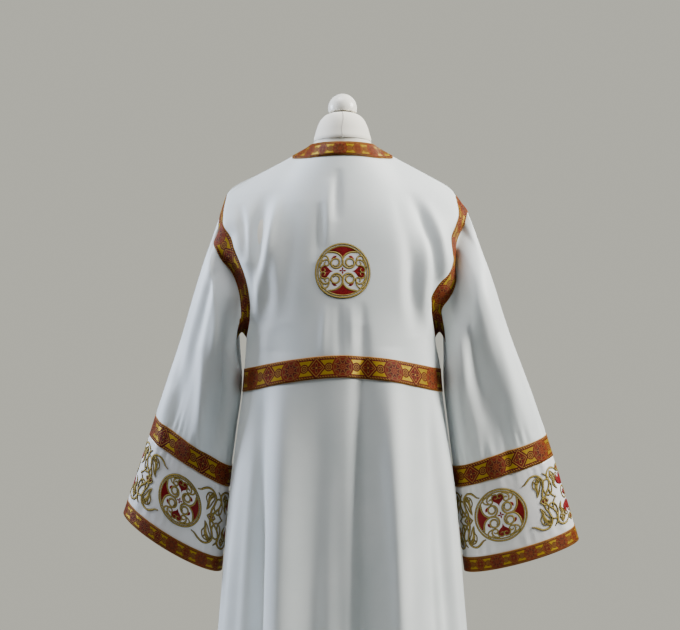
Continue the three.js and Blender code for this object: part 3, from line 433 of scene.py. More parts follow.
def ribbonUv(sheet, look, phase, fromMiddle=False):
    # metres along and across a ribbon; on a ring a whole number of repeats
    points = sheet["points"]
    middle = points[points.shape[0] // 2]
    if sheet["ring"]:
        middle = np.concatenate([middle, middle[:1]])
    u = runLengths(middle)
    if sheet["ring"]:
        u *= round(u[-1] / look["repeat"]) * look["repeat"] / u[-1]
    if fromMiddle:
        u -= u[len(u) // 2]
    v = (np.linspace(0, 1, points.shape[0]) - 0.5) * look["wide"]
    uu, vv = np.meshgrid(u + phase, v)
    return np.stack([uu, vv], -1) * mm


def clothUv(sheet):
    # metres along the rows and columns
    points = sheet["points"]
    if sheet["ring"]:
        points = np.concatenate([points, points[:, :1]], 1)
    u = np.cumsum(stepLengths(points, 1), 1)
    u = np.concatenate([np.zeros((points.shape[0], 1)), u], 1)
    if not sheet["ring"]:
        u = u - u[:, u.shape[1] // 2][:, None]
    v = np.cumsum(stepLengths(points), 0)
    v = np.concatenate([np.zeros((1, points.shape[1])), v], 0)
    return np.stack([u, v], -1) * mm


def meshPiece(name, verts, faces, materials, uv=None, slots=None):
    # uv: one pair for each corner of each face
    mesh = bpy.data.meshes.new(name)
    mesh.from_pydata((verts * mm).tolist(), [], faces)
    if uv is not None:
        layer = mesh.uv_layers.new(name="UVMap")
        layer.data.foreach_set("uv", np.asarray(uv, np.float32).ravel())
    if slots is not None:
        mesh.polygons.foreach_set("material_index", slots)
    mesh.shade_smooth()
    for material in materials:
        mesh.materials.append(material)
    piece = bpy.data.objects.new(name, mesh)
    bpy.context.collection.objects.link(piece)
    return piece


def cloth(name, sheet, low, high, material, uv):
    # a closed wall between two heights over a sheet's points
    points = sheet["points"]
    rows, columns = points.shape[:2]
    ring = sheet["ring"]
    outer = points + sheet["normals"] * high
    inner = points + sheet["normals"] * low
    verts = np.concatenate([outer.reshape(-1, 3), inner.reshape(-1, 3)])
    count = rows * columns
    last = columns if ring else columns - 1
    i, j = np.meshgrid(np.arange(rows - 1), np.arange(last), indexing="ij")
    i = i.ravel()
    j = j.ravel()
    corners = [(i, j, 0), (i, j + 1, 0), (i + 1, j + 1, 0), (i + 1, j, 0)]
    under = [(r, c, 1) for r, c, _ in corners][::-1]
    walls = [corners, under]
    j = np.arange(last)
    for row, turned in ((0, False), (rows - 1, True)):
        r = np.full_like(j, row)
        quad = [(r, j + 1, 0), (r, j, 0), (r, j, 1), (r, j + 1, 1)]
        walls.append(quad[::-1] if turned else quad)
    if not ring:
        i = np.arange(rows - 1)
        for column, turned in ((0, False), (columns - 1, True)):
            c = np.full_like(i, column)
            quad = [(i, c, 0), (i + 1, c, 0), (i + 1, c, 1), (i, c, 1)]
            walls.append(quad[::-1] if turned else quad)
    faces = []
    flat = []
    for quad in walls:
        faces.append(np.stack([r * columns + c % columns + count * side for r, c, side in quad], -1))
        flat.append(np.stack([uv[r, c] for r, c, side in quad], 1))
    faces = np.concatenate(faces)
    flat = np.concatenate(flat)
    corner = np.cross(outer[0, 1] - outer[0, 0], outer[1, 0] - outer[0, 0])
    if corner @ sheet["normals"][0, 0] < 0:
        faces = faces[:, ::-1]
        flat = flat[:, ::-1]
    return meshPiece(name, verts, faces.tolist(), [material], flat)


def slotted(piece, node=None):
    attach(piece, "root")
    if node:
        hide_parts(node)


# materials


def colour(hexValue):
    # an sRGB hex value as linear colour
    out = []
    for k in (0, 2, 4):
        c = int(hexValue[k : k + 2], 16) / 255
        out.append(c / 12.92 if c <= 0.04045 else ((c + 0.055) / 1.055) ** 2.4)
    return (*out, 1)


def newMaterial(name, roughness, **sockets):
    material = bpy.data.materials.new(name)
    material.use_nodes = True
    tree = material.node_tree
    tree.nodes.clear()
    shader = addNode(tree, "BsdfPrincipled", Roughness=roughness, **sockets)
    addNode(tree, "OutputMaterial", Surface=shader.outputs["BSDF"])
    return material, tree, shader


def addNode(tree, kind, settings=None, **inputs):
    node = tree.nodes.new("ShaderNode" + kind)
    for key, value in (settings or {}).items():
        setattr(node, key, value)
    wire(tree, node, **inputs)
    return node


def wire(tree, node, **inputs):
    # inputs by name, with _ for a space, or by number as i0, i1; a value is set and a socket linked
    for key, value in inputs.items():
        socket = node.inputs[int(key[1:]) if key[0] == "i" and key[1:].isdigit() else key.replace("_", " ")]
        if isinstance(value, bpy.types.NodeSocket):
            tree.links.new(value, socket)
        else:
            socket.default_value = value


def whiteCloth(name, look):
    # polyester crepe or satin: a fine even weave, soft sheen, a little cloudiness from wear and handling
    material, tree, shader = newMaterial(name, look["rough"], Sheen_Weight=look["sheen"], Sheen_Roughness=0.4)
    uv = addNode(tree, "UVMap").outputs[0]
    cloud = addNode(tree, "TexNoise", Vector=uv, Scale=look["cloudScale"], Detail=3.0)
    ramp = addNode(tree, "ValToRGB", Fac=cloud.outputs[0])
    for stop, position, tone in zip(ramp.color_ramp.elements, (0.3, 0.7), ("shade", "tone")):
        stop.position = position
        stop.color = colour(look[tone])
    warp = addNode(tree, "TexWave", dict(bands_direction="X"), Vector=uv, Scale=look["thread"], Distortion=1.0)
    weft = addNode(tree, "TexWave", dict(bands_direction="Y"), Vector=uv, Scale=look["thread"], Distortion=1.0)
    weave = addNode(tree, "Math", dict(operation="MULTIPLY"), i0=warp.outputs[1], i1=weft.outputs[1])
    pebble = addNode(tree, "TexNoise", Vector=uv, Scale=look["pebble"], Detail=2.0)
    both = addNode(tree, "Math", dict(operation="ADD"), i0=weave.outputs[0], i1=pebble.outputs[0])
    bump = addNode(tree, "Bump", Strength=look["bump"], Distance=0.0003, Height=both.outputs[0])
    rough = addNode(tree, "MapRange", i0=cloud.outputs[0], i3=look["rough"] - 0.05, i4=look["rough"] + 0.05)
    wire(tree, shader, Base_Color=ramp.outputs[0], Roughness=rough.outputs[0], Normal=bump.outputs[0])
    return material


# one repeat of the woven galloon, in millimetres: x along from a circle's centre, y across from the middle
# each row: result, operation, then what it works on, a name or a number
# bright metal grounds above and below the eye; a fine check is worked out after them but used nowhere
galloonSteps = """
x PINGPONG u 51.5
y ABSOLUTE v
xx MULTIPLY x x
yy MULTIPLY y y
rr ADD xx yy
r SQRT rr
angle ARCTAN2 y x
# circle: a gold ring, a dark ring outside it, and a rosette of eight petals in two rounds
ringOff SUBTRACT r 17.6
ring COMPARE ringOff 0.0 0.75
inCircle LESS_THAN r 20.3
inRing LESS_THAN r 16.9
turns MULTIPLY angle 8.0
turn8 COSINE turns
ripple MULTIPLY turn8 1.9
petalEdge ADD r ripple
petalLine COMPARE petalEdge 12.8 0.65
petalLow COMPARE petalEdge 7.2 0.6
spokes COMPARE turn8 -1.0 0.16
spokeOut GREATER_THAN r 5.5
spoke MULTIPLY spokes spokeOut
boss COMPARE r 2.6 0.6
petalBand COMPARE petalEdge 10.0 2.1
goldA MAXIMUM petalLine petalLow
goldB MAXIMUM spoke boss
goldC MAXIMUM goldA goldB
goldD MULTIPLY goldC inRing
circleGold MAXIMUM goldD ring
circleRedA MULTIPLY petalBand inRing
# diamond with a four-petalled flower
fromDiamond SUBTRACT 51.5 x
dx DIVIDE fromDiamond 16.2
dy DIVIDE y 18.6
d ADD dx dy
inDiamond LESS_THAN d 1.14
diamondLine COMPARE d 0.93 0.05
diamondRim COMPARE d 1.07 0.07
pp MULTIPLY fromDiamond fromDiamond
dd ADD pp yy
dr SQRT dd
dAngle ARCTAN2 y fromDiamond
dTurns MULTIPLY dAngle 4.0
turn4 COSINE dTurns
lobe MULTIPLY turn4 4.6
flower SUBTRACT dr lobe
flowerIn LESS_THAN flower 4.4
flowerLine COMPARE flower 5.1 0.7
heart LESS_THAN dr 1.7
diaGoldA MAXIMUM flowerLine heart
diaInside LESS_THAN d 0.9
diaGoldB MULTIPLY diaGoldA diaInside
diamondGold MAXIMUM diaGoldB diamondLine
diaRedA MULTIPLY flowerIn diaInside
diamondRed MAXIMUM diaRedA diamondRim
# eye between them
ex SUBTRACT x 27.0
exx MULTIPLY ex ex
ee ADD exx yy
e SQRT ee
inEye LESS_THAN e 8.0
eyeRing COMPARE e 5.6 0.7
eyeDot COMPARE e 2.3 0.6
eyeGold MAXIMUM eyeRing eyeDot
eyeRimOut COMPARE e 7.3 0.9
eyeRimIn COMPARE e 3.9 0.8
eyeRed MAXIMUM eyeRimOut eyeRimIn
# bright metal grounds above and below the eye, pierced by a fine check
outA GREATER_THAN r 21.2
outD GREATER_THAN d 1.22
outE GREATER_THAN e 8.6
inField LESS_THAN y 13.9
groundA MULTIPLY outA outD
groundB MULTIPLY outE inField
metal MULTIPLY groundA groundB
cx MULTIPLY u 2.6
cy MULTIPLY v 2.6
sx SINE cx
sy SINE cy
check MULTIPLY sx sy
hole GREATER_THAN check 0.62
# rope borders: slanting dashes between two dark lines, and a thin gold edge
inRope GREATER_THAN y 15.2
ropeLine COMPARE y 15.2 0.75
ropeEdge GREATER_THAN y 20.7
slant MULTIPLY v 0.85
along ADD u slant
phase MULTIPLY along 1.22
twist SINE phase
dash GREATER_THAN twist 0.1
ropeBody COMPARE y 18.1 1.7
ropeGoldA MULTIPLY dash ropeBody
ropeGold MAXIMUM ropeGoldA ropeEdge
# all the gold that stands above the ground
raisedA MAXIMUM circleGold diamondGold
raisedB MAXIMUM ropeGold metal
raised MAXIMUM raisedA raisedB
"""


def wovenGalloon(name, look):
    # brocaded galloon: rust rayon ground, cream-gold and flat metal threads floating on it in ribs
    material, tree, shader = newMaterial(name, look["rough"], Specular_IOR_Level=0.14)
    uv = addNode(tree, "UVMap").outputs[0]
    grown = addNode(tree, "VectorMath", dict(operation="SCALE"), i0=uv, Scale=1000 / look["size"])
    axes = addNode(tree, "SeparateXYZ", i0=grown.outputs[0])
    values = dict(u=axes.outputs[0], v=axes.outputs[1])
    rows = [row.split() for row in galloonSteps.strip().splitlines() if not row.startswith("#")]
    for key, operation, *items in rows:
        sockets = {f"i{k}": values[item] if item in values else float(item) for k, item in enumerate(items)}
        values[key] = addNode(tree, "Math", dict(operation=operation), **sockets).outputs[0]
    fleck = addNode(tree, "TexNoise", Vector=grown.outputs[0], Scale=1.1, Detail=2.0)
    ground = addNode(
        tree, "Mix", dict(data_type="RGBA"), i0=fleck.outputs[0], i6=colour(look["ground"]), i7=colour(look["warm"])
    ).outputs[2]
    # later layers lie over earlier ones
    layers = (
        ("metal", look["metal"]),
        ("inRope", look["red"]),
        ("ropeGold", look["gold"]),
        ("inEye", look["red"]),
        ("eyeGold", look["gold"]),
        ("inDiamond", look["ground"]),
        ("diamondRed", look["red"]),
        ("diamondGold", look["gold"]),
        ("inCircle", look["warm"]),
        ("circleRedA", look["red"]),
        ("circleGold", look["rim"]),
    )
    for key, tone in layers:
        ground = addNode(tree, "Mix", dict(data_type="RGBA"), i0=values[key], i6=ground, i7=colour(tone)).outputs[2]
    # ribs of the weave and the raised gold; the ground is darkened between the ribs as painted shade
    slanting = dict(bands_direction="DIAGONAL")
    rib = addNode(tree, "TexWave", slanting, Vector=grown.outputs[0], Scale=0.42, Distortion=0.6)
    shaded = addNode(tree, "MapRange", i0=rib.outputs[1], i3=look["ribShade"], i4=1.12)
    ground = addNode(
        tree, "Mix", dict(data_type="RGBA", blend_type="MULTIPLY"), i0=1.0, i6=ground, i7=shaded.outputs[0]
    ).outputs[2]
    relief = addNode(tree, "Math", dict(operation="ADD"), i0=values["raised"], i1=rib.outputs[1])
    bump = addNode(tree, "Bump", Strength=0.5, Distance=0.0004, Height=relief.outputs[0])
    shine = addNode(tree, "MapRange", i0=values["metal"], i3=look["rough"], i4=0.42)
    gloss = addNode(tree, "MapRange", i0=values["metal"], i3=0.0, i4=0.35)
    wire(tree, shader, Base_Color=ground, Metallic=gloss.outputs[0])
    wire(tree, shader, Roughness=shine.outputs[0], Normal=bump.outputs[0])
    return material


def satinStitch(name, look):
    # rayon or metallised embroidery thread laid side by side across the shape: each turn of thread shows in the bump
    # and in stripes of painted highlight and shade
    material, tree, shader = newMaterial(name, look["rough"], Metallic=look["metal"], Specular_IOR_Level=0.2)
    uv = addNode(tree, "UVMap").outputs[0]
    slanted = addNode(tree, "Mapping", Vector=uv, Rotation=(0, 0, look["slant"]))
    across = dict(bands_direction="X")
    thread = addNode(tree, "TexWave", across, Vector=slanted.outputs[0], Scale=look["thread"], Distortion=0.5)
    tone = addNode(tree, "TexNoise", Vector=uv, Scale=240.0, Detail=2.0)
    mixed = addNode(tree, "Math", dict(operation="MULTIPLY"), i0=thread.outputs[1], i1=tone.outputs[0])
    litShare = addNode(tree, "MapRange", i0=mixed.outputs[0], i1=0.05, i2=0.55)
    # tone is the thread's colour where lit, shade where shaded: painted highlight and shade on each turn
    ink = addNode(
        tree, "Mix", dict(data_type="RGBA"), i0=litShare.outputs[0], i6=colour(look["shade"]), i7=colour(look["tone"])
    )
    bump = addNode(tree, "Bump", Strength=0.5, Distance=0.0003, Height=thread.outputs[1])
    wire(tree, shader, Base_Color=ink.outputs[2], Normal=bump.outputs[0])
    return material


def formFinish(name, look):
    # stretch jersey over the form, or satin paint on wood and steel, in the object's own metres
    material, tree, shader = newMaterial(name, look["rough"], Sheen_Weight=look["sheen"])
    place = addNode(tree, "TexCoord").outputs[3]
    cloud = addNode(tree, "TexNoise", Vector=place, Scale=look["cloudScale"], Detail=4.0)
    grain = addNode(tree, "TexNoise", Vector=place, Scale=look["grain"], Detail=2.0)
    ink = addNode(
        tree, "Mix", dict(data_type="RGBA"), i0=cloud.outputs[0], i6=colour(look["shade"]), i7=colour(look["tone"])
    )
    bump = addNode(tree, "Bump", Strength=look["bump"], Distance=0.0003, Height=grain.outputs[0])
    rough = addNode(tree, "MapRange", i0=cloud.outputs[0], i3=look["rough"] - 0.06, i4=look["rough"] + 0.06)
    wire(tree, shader, Base_Color=ink.outputs[2], Roughness=rough.outputs[0], Normal=bump.outputs[0])
    return material


# thread: 3.1 waves a metre for each; crepe threads are 0.5 mm apart, drawn at 1.3 mm so that they show
crepeLook = dict(
    tone="e6ebec", shade="dce3e4", rough=0.55, sheen=0.2, cloudScale=9.0, thread=240.0, pebble=700.0, bump=0.1
)
satinLook = dict(
    tone="efeeee", shade="e6e5e6", rough=0.4, sheen=0.15, cloudScale=12.0, thread=300.0, pebble=900.0, bump=0.08
)
galloonTones = dict(
    ground="6a1606", warm="741c08", red="4e0404", gold="a8772a", rim="80501e", metal="a88a16",
    ribShade=0.55, rough=0.55,
)
# width and repeat in millimetres
galloonCut = dict(
    wide=dict(wide=cut["wideGalloon"], repeat=103, size=1.0),
    narrow=dict(wide=cut["narrowGalloon"], repeat=70.04, size=0.68),
)
# in the satin stitch looks, tone and shade are a thread's colour where lit and where shaded, painted in stripes
goldLook = dict(tone="b8a258", shade="7e6c2c", rough=0.45, metal=0.2, thread=340.0, slant=0.25)
# dark brown thread laid under each gold cord, standing in for the shadow along its edges: painted shadow
cordEdgeShadowLook = dict(tone="4c3a18", shade="2a1f08", rough=0.6, metal=0.0, thread=340.0, slant=0.25)
redLook = dict(tone="94040e", shade="5a0006", rough=0.5, metal=0.0, thread=300.0, slant=0.4)
jerseyLook = dict(tone="f3efe4", shade="e9e4d8", rough=0.8, sheen=0.15, cloudScale=14.0, grain=900.0, bump=0.25)
seamLook = dict(tone="b9b4ac", shade="a29c94", rough=0.8, sheen=0.1, cloudScale=60.0, grain=900.0, bump=0.3)
paintLook = dict(tone="fbf8ef", shade="f4f1e7", rough=0.3, sheen=0.0, cloudScale=20.0, grain=300.0, bump=0.05)
floorLook = dict(tone="c4c5c0", shade="bfc0bb", rough=0.85, sheen=0.0, cloudScale=2.0, grain=200.0, bump=0.05)
whiteCrepe = whiteCloth("whitePolyesterCrepe", crepeLook)
whiteSatin = whiteCloth("whiteDuchessSatin", satinLook)
galloons = {
    size: wovenGalloon("brocadedGalloon" + size.title(), dict(galloonTones, size=galloonCut[size]["size"]))
    for size in ("wide", "narrow")
}
goldThread = satinStitch("goldSatinStitch", goldLook)
# the material of that dark underlay: painted shadow along the cords' edges
cordEdgeShadowThread = satinStitch("cordEdgeShadowStitch", cordEdgeShadowLook)
redThread = satinStitch("redSatinStitch", redLook)
formJersey = formFinish("whiteCottonJersey", jerseyLook)
seamThread = formFinish("seamThread", seamLook)
whitePaint = formFinish("whiteSatinPaint", paintLook)
print("materials made")

# creases: from and to in millimetres on the panel, bow to the side, half width and height
creaseColumns = ("fromX", "fromZ", "toX", "toZ", "bow", "wide", "deep")
backCreases = (
    (9, 1400, 14, 1290, 0, 9, -4.5),
    (44, 1330, 52, 1210, 3, 10, -4.6),
    (24, 1380, 34, 1240, 0, 12, 3.6),
    (158, 1360, 176, 1110, -8, 16, -9),
    (126, 1350, 178, 1090, -6, 12, 8),
    (212, 1335, 200, 1210, 4, 9, -5.5),
    (-108, 1360, -145, 1060, 10, 16, -6),
    (-138, 1355, -185, 1130, 22, 12, -10),
    (-164, 1345, -210, 1150, 16, 12, 5),
    (0, 1030, 4, -60, 0, 50, -9),
    (-36, 1085, -56, -60, -3, 18, -21),
    (-92, 1040, -114, -60, 0, 26, 31),
    (120, 1030, 140, -60, 0, 32, 22),
    (160, 1040, 184, -40, 0, 15, -19),
    (46, 980, 54, -40, 0, 26, -9),
    (-176, 1000, -190, 300, 0, 12, -7),
    (8, 1130, 6, 1010, 0, 8, -3),
    (-38, 1130, -44, 1000, 0, 9, -3.5),
    (34, 1125, 40, 1020, 0, 8, 2.5),
    (-16, 1128, -20, 1020, 0, 7, 2.4),
    (96, 1330, 120, 1090, 0, 20, -3.5),
    (150, 1090, 166, 900, 0, 14, 4),
)
frontCreases = (
    (120, 1340, 160, 1100, -8, 16, -5),
    (-120, 1340, -166, 1090, 8, 16, -5),
    (20, 1290, 30, 1080, 0, 16, -3),
    (-40, 1290, -50, 1060, 0, 18, -3),
    (70, 1280, 96, 1040, 0, 16, 3),
    (-86, 1280, -110, 1040, 0, 16, 3),
    (20, 980, 26, -60, 0, 34, -12),
    (110, 960, 136, -60, 0, 32, 12),
    (-100, 960, -126, -60, 0, 32, 12),
)
leftBackCreases = (
    (262, 1200, 290, 1040, -6, 9, -5),
    (224, 1140, 262, 790, 0, 22, -11),
    (278, 1150, 292, 820, 0, 12, 8),
    (330, 1120, 352, 860, 0, 14, -6),
    (300, 860, 310, 740, 0, 9, -3),
    (360, 960, 392, 770, 0, 13, 5),
)
leftFrontCreases = (
    (270, 1180, 300, 960, -6, 12, -5),
    (320, 1120, 350, 860, 0, 14, 4),
    (300, 900, 318, 720, 0, 12, -3),
)
rightBackCreases = (
    (260, 1110, 290, 880, 0, 14, -5),
    (235, 1100, 252, 880, 0, 12, 3.5),
    (320, 1090, 360, 860, 0, 16, 3.5),
    (330, 900, 352, 720, 0, 10, -3),
    (290, 880, 300, 700, 0, 10, -2.5),
    (400, 860, 432, 720, 0, 12, 2.5),
)
rightFrontCreases = (
    (268, 1180, 300, 950, 6, 12, -5),
    (320, 1110, 360, 850, 0, 14, 4),
    (300, 900, 322, 720, 0, 12, -3),
)
pucker = dict(
    above=dict(before=True, waves=27, tall=1.1, reach=13, phase=0.4),
    below=dict(before=False, waves=31, tall=0.9, reach=9, phase=1.9),
    hem=dict(before=True, waves=24, tall=1.0, reach=10, phase=3.1),
)
panelMesh = dict(upperRows=92, bandRows=11, lowerRows=112, columns=150, bridging=36)
sleeveMesh = dict(columns=168, rows=(13, 56, 12, 12, 40, 11))
shell = dict(thick=0.9, galloon=1.1, lift=0.35, neckWide=30, neckSeam=40)

sleeves = (
    dict(
        side="left", sign=1, outer=715, under=500, start=leftStart, sections=leftSections, folds=leftSleeveFolds,
        backCreases=leftBackCreases, frontCreases=leftFrontCreases,
        roundelSize=104, roundelStep=6, cuffPhase=-15, hemPhase=-8, armholePhase=30,
        outerVine=dict(step=-0.2, back=1.05, front=1.0), innerVine=dict(step=12.5, back=1.08, front=0.92),
    ),
    dict(
        side="right", sign=-1, outer=725, under=500, start=rightStart, sections=rightSections, folds=rightSleeveFolds,
        backCreases=rightBackCreases, frontCreases=rightFrontCreases,
        roundelSize=114, roundelStep=7, cuffPhase=54, hemPhase=11, armholePhase=0,
        outerVine=dict(step=1.0, back=1.1, front=1.0), innerVine=dict(step=12.7, back=0.86, front=0.68),
    ),
)


def hungCloth(name, sheet, material, node):
    slotted(cloth(name, sheet, -shell["thick"], 0, material, clothUv(sheet)), node)


def ribbon(name, strip, material, node, uv):
    slotted(cloth(name, strip, shell["lift"], shell["lift"] + shell["galloon"], material, uv), node)


# the garment's cloth
backSheet = panelSheet(True, backCreases, panelMesh)
frontSheet = panelSheet(False, frontCreases, panelMesh)
for name, sheet in (("back", backSheet), ("front", frontSheet)):
    hungCloth(name + "_cloth", sheet, whiteCrepe, name)
for sleeve in sleeves:
    sheet = sleeveSheet(sleeve, sleeveMesh)
    sleeve["sheet"] = sheet
    top, armholeEnd, _, bodyEnd, galloonEnd, panelEnd, hem = sheet["breaks"]
    side = sleeve["side"]
    hungCloth(side + "_sleeve_cloth", part(sheet, top, galloonEnd), whiteCrepe, side + "_sleeve")
    hungCloth(side + "_cuff_cloth", part(sheet, galloonEnd, hem), whiteSatin, side + "_cuff_panel")
    for label, row0, row1, size in (
        ("armhole", top, armholeEnd, "wide"), ("cuff", bodyEnd, galloonEnd, "wide"), ("hem", panelEnd, hem, "narrow"),
    ):
        strip = part(sheet, row0, row1)
        uv = ribbonUv(strip, galloonCut[size], sleeve[label + "Phase"])
        ribbon(f"{side}_{label}_ribbon", strip, galloons[size], f"{side}_{label}_galloon", uv)
print("garment cloth made")


def sample(sheet, row, column):
    # points and normals of a sheet between its grid lines
    rows, columns = sheet["points"].shape[:2]
    r = np.clip(row, 0, rows - 1.000001)
    c = column % columns if sheet["ring"] else np.clip(column, 0, columns - 1.000001)
    r0 = r.astype(int)
    c0 = np.floor(c).astype(int) % columns
    c1 = (c0 + 1) % columns
    fr = (r - r0)[..., None]
    fc = (c - np.floor(c))[..., None]
    out = []
    for grid in (sheet["points"], sheet["normals"]):
        upper = grid[r0, c0] * (1 - fc) + grid[r0, c1] * fc
        lower = grid[r0 + 1, c0] * (1 - fc) + grid[r0 + 1, c1] * fc
        out.append(upper * (1 - fr) + lower * fr)
    return out


def backPlaces(sheet, across, down):
    row = np.interp(down, sheet["downs"], np.arange(len(sheet["downs"])))
    column = (across + 1) / 2 * (len(sheet["across"]) - 1)
    return sample(sheet, row, column)


# back band and neck galloon
bandRows = (panelMesh["upperRows"] - 1, panelMesh["upperRows"] + panelMesh["bandRows"] - 2)
band = part(backSheet, *bandRows)
ribbon("back_ribbon", band, galloons["wide"], "back_galloon", ribbonUv(band, galloonCut["wide"], 0, True))

neckShare = cut["neckColumn"] / cut["halfColumns"]
t = np.linspace(-1, 1, 81)
neckRows = 5
halves = []
for sheet, ts in ((backSheet, t[:-1]), (frontSheet, -t[:-1])):
    # on the shoulder seam the ribbon lies its own width along the seam
    runs = runLengths(sheet["points"][0])
    seamShare = np.interp(np.interp(neckShare, sheet["across"], runs) + shell["neckSeam"], runs, sheet["across"])
    rows = []
    for share in np.linspace(0, 1, neckRows):
        farAcross = ts * (neckShare + (seamShare - neckShare) * np.abs(ts) ** 3)
        farDown = shell["neckWide"] * (1 - np.abs(ts) ** 5) ** 0.7
        rows.append(backPlaces(sheet, ts * neckShare * (1 - share) + farAcross * share, farDown * share))
    halves.append((np.stack([r[0] for r in rows]), np.stack([r[1] for r in rows])))
neckLoop = dict(
    points=np.concatenate([h[0] for h in halves], 1), normals=np.concatenate([h[1] for h in halves], 1), ring=True
)
for at in (0, len(t) - 1):
    # the two panels share the seam: their normals are evened out there
    n = neckLoop["normals"][:, at] + neckLoop["normals"][:, at - 1]
    neckLoop["normals"][:, at] = n / np.linalg.norm(n, axis=-1, keepdims=True)
# a medallion of the galloon lies at the middle of the back
toMiddle = float(stepLengths(neckLoop["points"][neckRows // 2, : len(t) // 2 + 1]).sum())
uv = ribbonUv(neckLoop, galloonCut["narrow"], -toMiddle)
ribbon("neck_ribbon", neckLoop, galloons["narrow"], "neck_galloon", uv)
print("galloons made")

# embroidery: drawn flat in millimetres, then laid on the cloth


def placer(sheet, row, column, mirrored=1):
    # lays a flat drawing on a sheet: p runs along the row from the column, q down the column from the row
    points = sheet["points"]
    rows, columns = points.shape[:2]
    reach = columns // 2 if sheet["ring"] else columns
    spread = np.arange(-reach, reach + 1) + int(round(column))
    if not sheet["ring"]:
        spread = spread[(spread >= 0) & (spread < columns)]
    line = sample(sheet, np.full(len(spread), float(row)), spread.astype(float))[0]
    runs = runLengths(line)
    runs -= np.interp(column, spread, runs)
    downs = np.concatenate([np.zeros((1, columns)), np.cumsum(stepLengths(points), 0)])

    def place(p, q, lift):
        at = np.interp(mirrored * p, runs, spread)
        c0 = np.floor(at).astype(int)
        rowAt = np.zeros_like(at)
        for k, weight in ((0, 1 - (at - c0)), (1, at - c0)):
            for c in np.unique(c0 + k):
                here = (c0 + k) == c
                columnRuns = downs[:, c % columns if sheet["ring"] else min(c, columns - 1)]
                start = np.interp(row, np.arange(rows), columnRuns)
                rowAt[here] += weight[here] * np.interp(q[here] + start, columnRuns, np.arange(rows))
        spot, normal = sample(sheet, rowAt, at)
        return spot + normal * lift[..., None]

    return place


def newWork():
    return dict(verts=[], faces=[], uv=[], slots=[], count=0)


def addTube(work, points, slot, uv, closed):
    # a tube of points as quads; closed: its ends meet
    rows, columns = points.shape[:2]
    start = work["count"]
    for i in range(rows if closed else rows - 1):
        for j in range(columns):
            after = (j + 1) % columns
            below = (i + 1) % rows
            quad = ((i, j), (i, after), (below, after), (below, j))
            work["faces"].append([start + r * columns + k for r, k in quad])
            work["uv"] += [uv[r, k] for r, k in quad]
            work["slots"].append(slot)
    work["verts"].append(points.reshape(-1, 3))
    work["count"] += rows * columns
    return start


def addCaps(work, start, rows, columns, slot, endUv=(0, 0)):
    # closes both ends of an open tube
    for first, way, uvAt in ((start, 1, (0, 0)), (start + (rows - 1) * columns, -1, endUv)):
        work["faces"].append([first + k for k in range(columns)][::way])
        work["uv"] += [uvAt] * columns
        work["slots"].append(slot)


def workPiece(name, work, materials):
    return meshPiece(name, np.concatenate(work["verts"]), work["faces"], materials, work["uv"], work["slots"])


cordShape = (
    # across from the middle to each edge, height share; the last two lie under the cloth's surface
    (-1, 0.25), (-0.75, 0.75), (-0.3, 1), (0.3, 1), (0.75, 0.75), (1, 0.25), (0.9, -0.25), (-0.9, -0.25),
)


def smoothPath(path, count, closed=False):
    # an even run of points through a few drawn ones
    path = np.asarray(path, float)
    if closed:
        path = np.concatenate([path[-2:], path, path[:3]])
    knots = runLengths(path)
    at = np.linspace(knots[2], knots[-3], count, endpoint=False) if closed else np.linspace(0, knots[-1], count)
    return np.stack([curve(knots, path[:, 0], at), curve(knots, path[:, 1], at)], -1)


def addCord(work, place, path, wide, tall, base=0.5, closed=False, tapered=(0, 0)):
    # a run of satin stitch: a raised gold cord on a wider, low dark underlay that paints the shadow along its edges
    if closed:
        ahead = np.roll(path, -1, 0) - np.roll(path, 1, 0)
    else:
        ahead = np.gradient(path, axis=0)
    ahead /= np.maximum(np.linalg.norm(ahead, axis=-1, keepdims=True), 1e-6)
    side = np.stack([-ahead[:, 1], ahead[:, 0]], -1)
    runs = runLengths(path)
    share = runs / runs[-1]
    thick = np.ones_like(share)
    for end, amount in ((share, tapered[0]), (1 - share, tapered[1])):
        if amount:
            thick = thick * (0.35 + 0.65 * smooth(0, amount, end))
    # slot 1: the wider, low dark underlay, painted shadow along the cord's edges; slot 0: the gold cord
    for slot, extra, height in ((1, edgeShadowUnderlay["extra"], edgeShadowUnderlay["tall"]), (0, 0, tall)):
        half = (wide / 2) * thick + extra / 2
        across = np.array([a for a, _ in cordShape])
        rise = np.array([h for _, h in cordShape])
        p = path[:, 0, None] + side[:, 0, None] * across * half[:, None]
        q = path[:, 1, None] + side[:, 1, None] * across * half[:, None]
        lift = np.broadcast_to(base + height * rise, p.shape)
        points = place(p, q, lift)
        uv = np.stack(np.broadcast_arrays(runs[:, None], across * wide / 2), -1) * mm
        start = addTube(work, points, slot, uv, closed)
        if not closed:
            addCaps(work, start, len(path), len(cordShape), slot, (runs[-1] * mm, 0))


